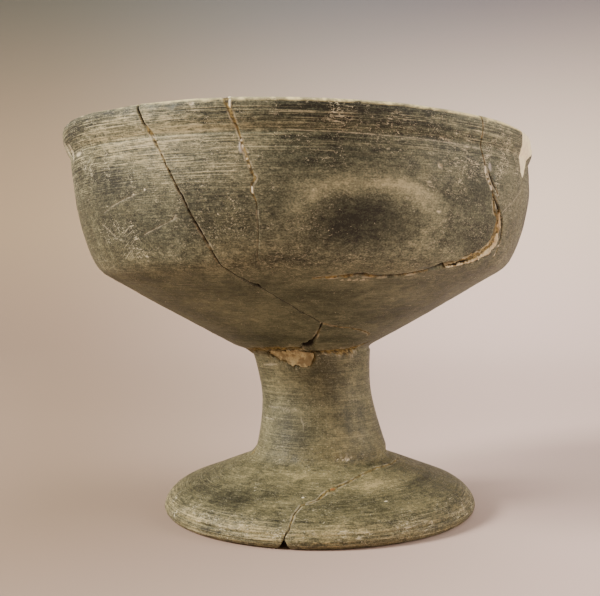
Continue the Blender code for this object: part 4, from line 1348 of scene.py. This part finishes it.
class BOWL_OT_stem_fill(bpy.types.Operator):
    """Make the filler at the top of the stem"""
    bl_idname = "bowl.stem_fill"
    bl_label = "Stem fill"

    def execute(self, context):
        settings = all_settings()
        mesh = make_filler("stem_fill_fine", STEM_FILLER, 1.3, False, 0.32, 90)
        shades = (settings.beige_pale, settings.beige_dark)
        material = plaster_material("beige_filler", settings, *shades, False)
        add_piece("stem_fill_fine", mesh, material, "stem_fill")
        return {"FINISHED"}


def paper_material(settings):
    """Matt paper with painted light and shade: darker to the left and at its top, and paler to the right."""
    nodes = NodeTree("backdrop_paper")
    place = nodes.add("ShaderNodeTexCoord", "Object", {})
    parts = nodes.add("ShaderNodeSeparateXYZ", "X", {0: place}).socket.node
    x, y, z = [Wire(nodes, socket) for socket in parts.outputs]
    side = nodes.spread(x / (abs(y) + 0.3), -0.32, 0.32)
    floor = nodes.mix(side, settings.floor_left, settings.floor_right)
    wall = nodes.mix(side, settings.wall_left, settings.wall_right)
    color = nodes.mix(nodes.spread(z, -0.02, 0.22), floor, wall)
    # Painted light on the backdrop behind the main light, which throws none there.
    color = nodes.mix(nodes.spread(x, -0.8, -1.3), color, settings.wall_side)
    # Painted shade at the top of the backdrop.
    top = nodes.mix(side, settings.shade_left, settings.shade_right)
    shade = nodes.mix(nodes.spread(z, 0.18, 0.85) * nodes.spread(y, 0.3, 1.1), (1, 1, 1), top)
    return nodes.finished(nodes.mix(1, color, shade, "MULTIPLY"), 0.9, 0.2)


def add_backdrop(material):
    """A round pale floor that rises into a wall on all sides, so that no horizon shows."""
    flat, run, height = 0.7, 1.4, 1.8
    outline = [(0, 0)] + [(flat + run * share, height * share ** 3) for share in np.linspace(0, 1, 29)]
    mesh = bpy.data.meshes.new("floor")
    body = bmesh.new()
    line = [body.verts.new((radius, 0, z)) for radius, z in outline]
    edges = [body.edges.new(pair) for pair in zip(line, line[1:])]
    bmesh.ops.spin(body, geom=line + edges, cent=(0, 0, 0), axis=(0, 0, 1), angle=math.tau,
                   steps=96, use_merge=True, use_duplicate=False)
    bmesh.ops.remove_doubles(body, verts=body.verts, dist=1e-5)
    bmesh.ops.recalc_face_normals(body, faces=body.faces)
    body.to_mesh(mesh)
    body.free()
    mesh.shade_smooth()
    floor = bpy.data.objects.new("floor", mesh)
    bpy.context.scene.collection.objects.link(floor)
    mesh.materials.append(material)


def add_light(name, power, place, target, size, color):
    """A square soft light that looks at a target."""
    lamp = bpy.data.lights.new(name, "AREA")
    lamp.size = size
    lamp.energy = power
    lamp.color = color
    light = bpy.data.objects.new(name, lamp)
    light.location = place
    light.rotation_euler = (Vector(target) - Vector(place)).to_track_quat("-Z", "Y").to_euler()
    bpy.context.scene.collection.objects.link(light)


def add_world():
    """An even pale light from all sides."""
    world = bpy.data.worlds.new("studio")
    world.use_nodes = True
    background = world.node_tree.nodes["Background"]
    background.inputs["Color"].default_value = (0.93, 0.94, 0.90, 1)
    background.inputs["Strength"].default_value = 0.32
    bpy.context.scene.world = world


def add_camera(focal_length):
    """The camera in front of the bowl, tipped a little down and to the side as in the photo."""
    lens = bpy.data.cameras.new("camera")
    lens.lens = focal_length
    lens.sensor_width = 36
    camera = bpy.data.objects.new("camera", lens)
    camera.location = CAMERA_PLACE
    camera.rotation_euler = (math.radians(90 - CAMERA_TIP), math.radians(CAMERA_ROLL), 0)
    bpy.context.scene.collection.objects.link(camera)
    bpy.context.scene.camera = camera


class BOWL_OT_stage(bpy.types.Operator):
    """Make the floor, the lights and the camera"""
    bl_idname = "bowl.stage"
    bl_label = "Stage"

    def execute(self, context):
        settings = all_settings()
        add_backdrop(paper_material(settings))
        for name, *light in LIGHTS:
            add_light(name, getattr(settings, name), *light)
        add_world()
        add_camera(settings.lens)
        return {"FINISHED"}


class BOWL_PT_panel(bpy.types.Panel):
    """Sizes, colours and steps of the pedestal bowl"""
    bl_idname = "BOWL_PT_panel"
    bl_label = "Pedestal bowl"
    bl_space_type = "VIEW_3D"
    bl_region_type = "UI"
    bl_category = "Pedestal bowl"

    def draw(self, context):
        for name, kind in GROUPS.items():
            box = self.layout.box()
            for key in kind.__annotations__:
                box.prop(getattr(context.scene, name), key)
        for step in STEPS:
            self.layout.operator(step.bl_idname)


STEPS = (BOWL_OT_vessel, BOWL_OT_rim_fill, BOWL_OT_crack_fill, BOWL_OT_stem_fill, BOWL_OT_stage)
GROUPS = {"bowl_clay": BowlClaySettings, "bowl_repair": BowlRepairSettings, "bowl_stage": BowlStageSettings}


def register():
    for kind in (*GROUPS.values(), *STEPS, BOWL_PT_panel):
        bpy.utils.register_class(kind)
    for name, group in GROUPS.items():
        setattr(bpy.types.Scene, name, bpy.props.PointerProperty(type=group))


def unregister():
    for name in GROUPS:
        delattr(bpy.types.Scene, name)
    for kind in (BOWL_PT_panel, *reversed(STEPS), *GROUPS.values()):
        bpy.utils.unregister_class(kind)


def main():
    register()
    bpy.ops.bowl.vessel()
    bpy.ops.bowl.rim_fill()
    bpy.ops.bowl.crack_fill()
    bpy.ops.bowl.stem_fill()
    bpy.ops.bowl.stage()


if __name__ == "__main__":
    main()
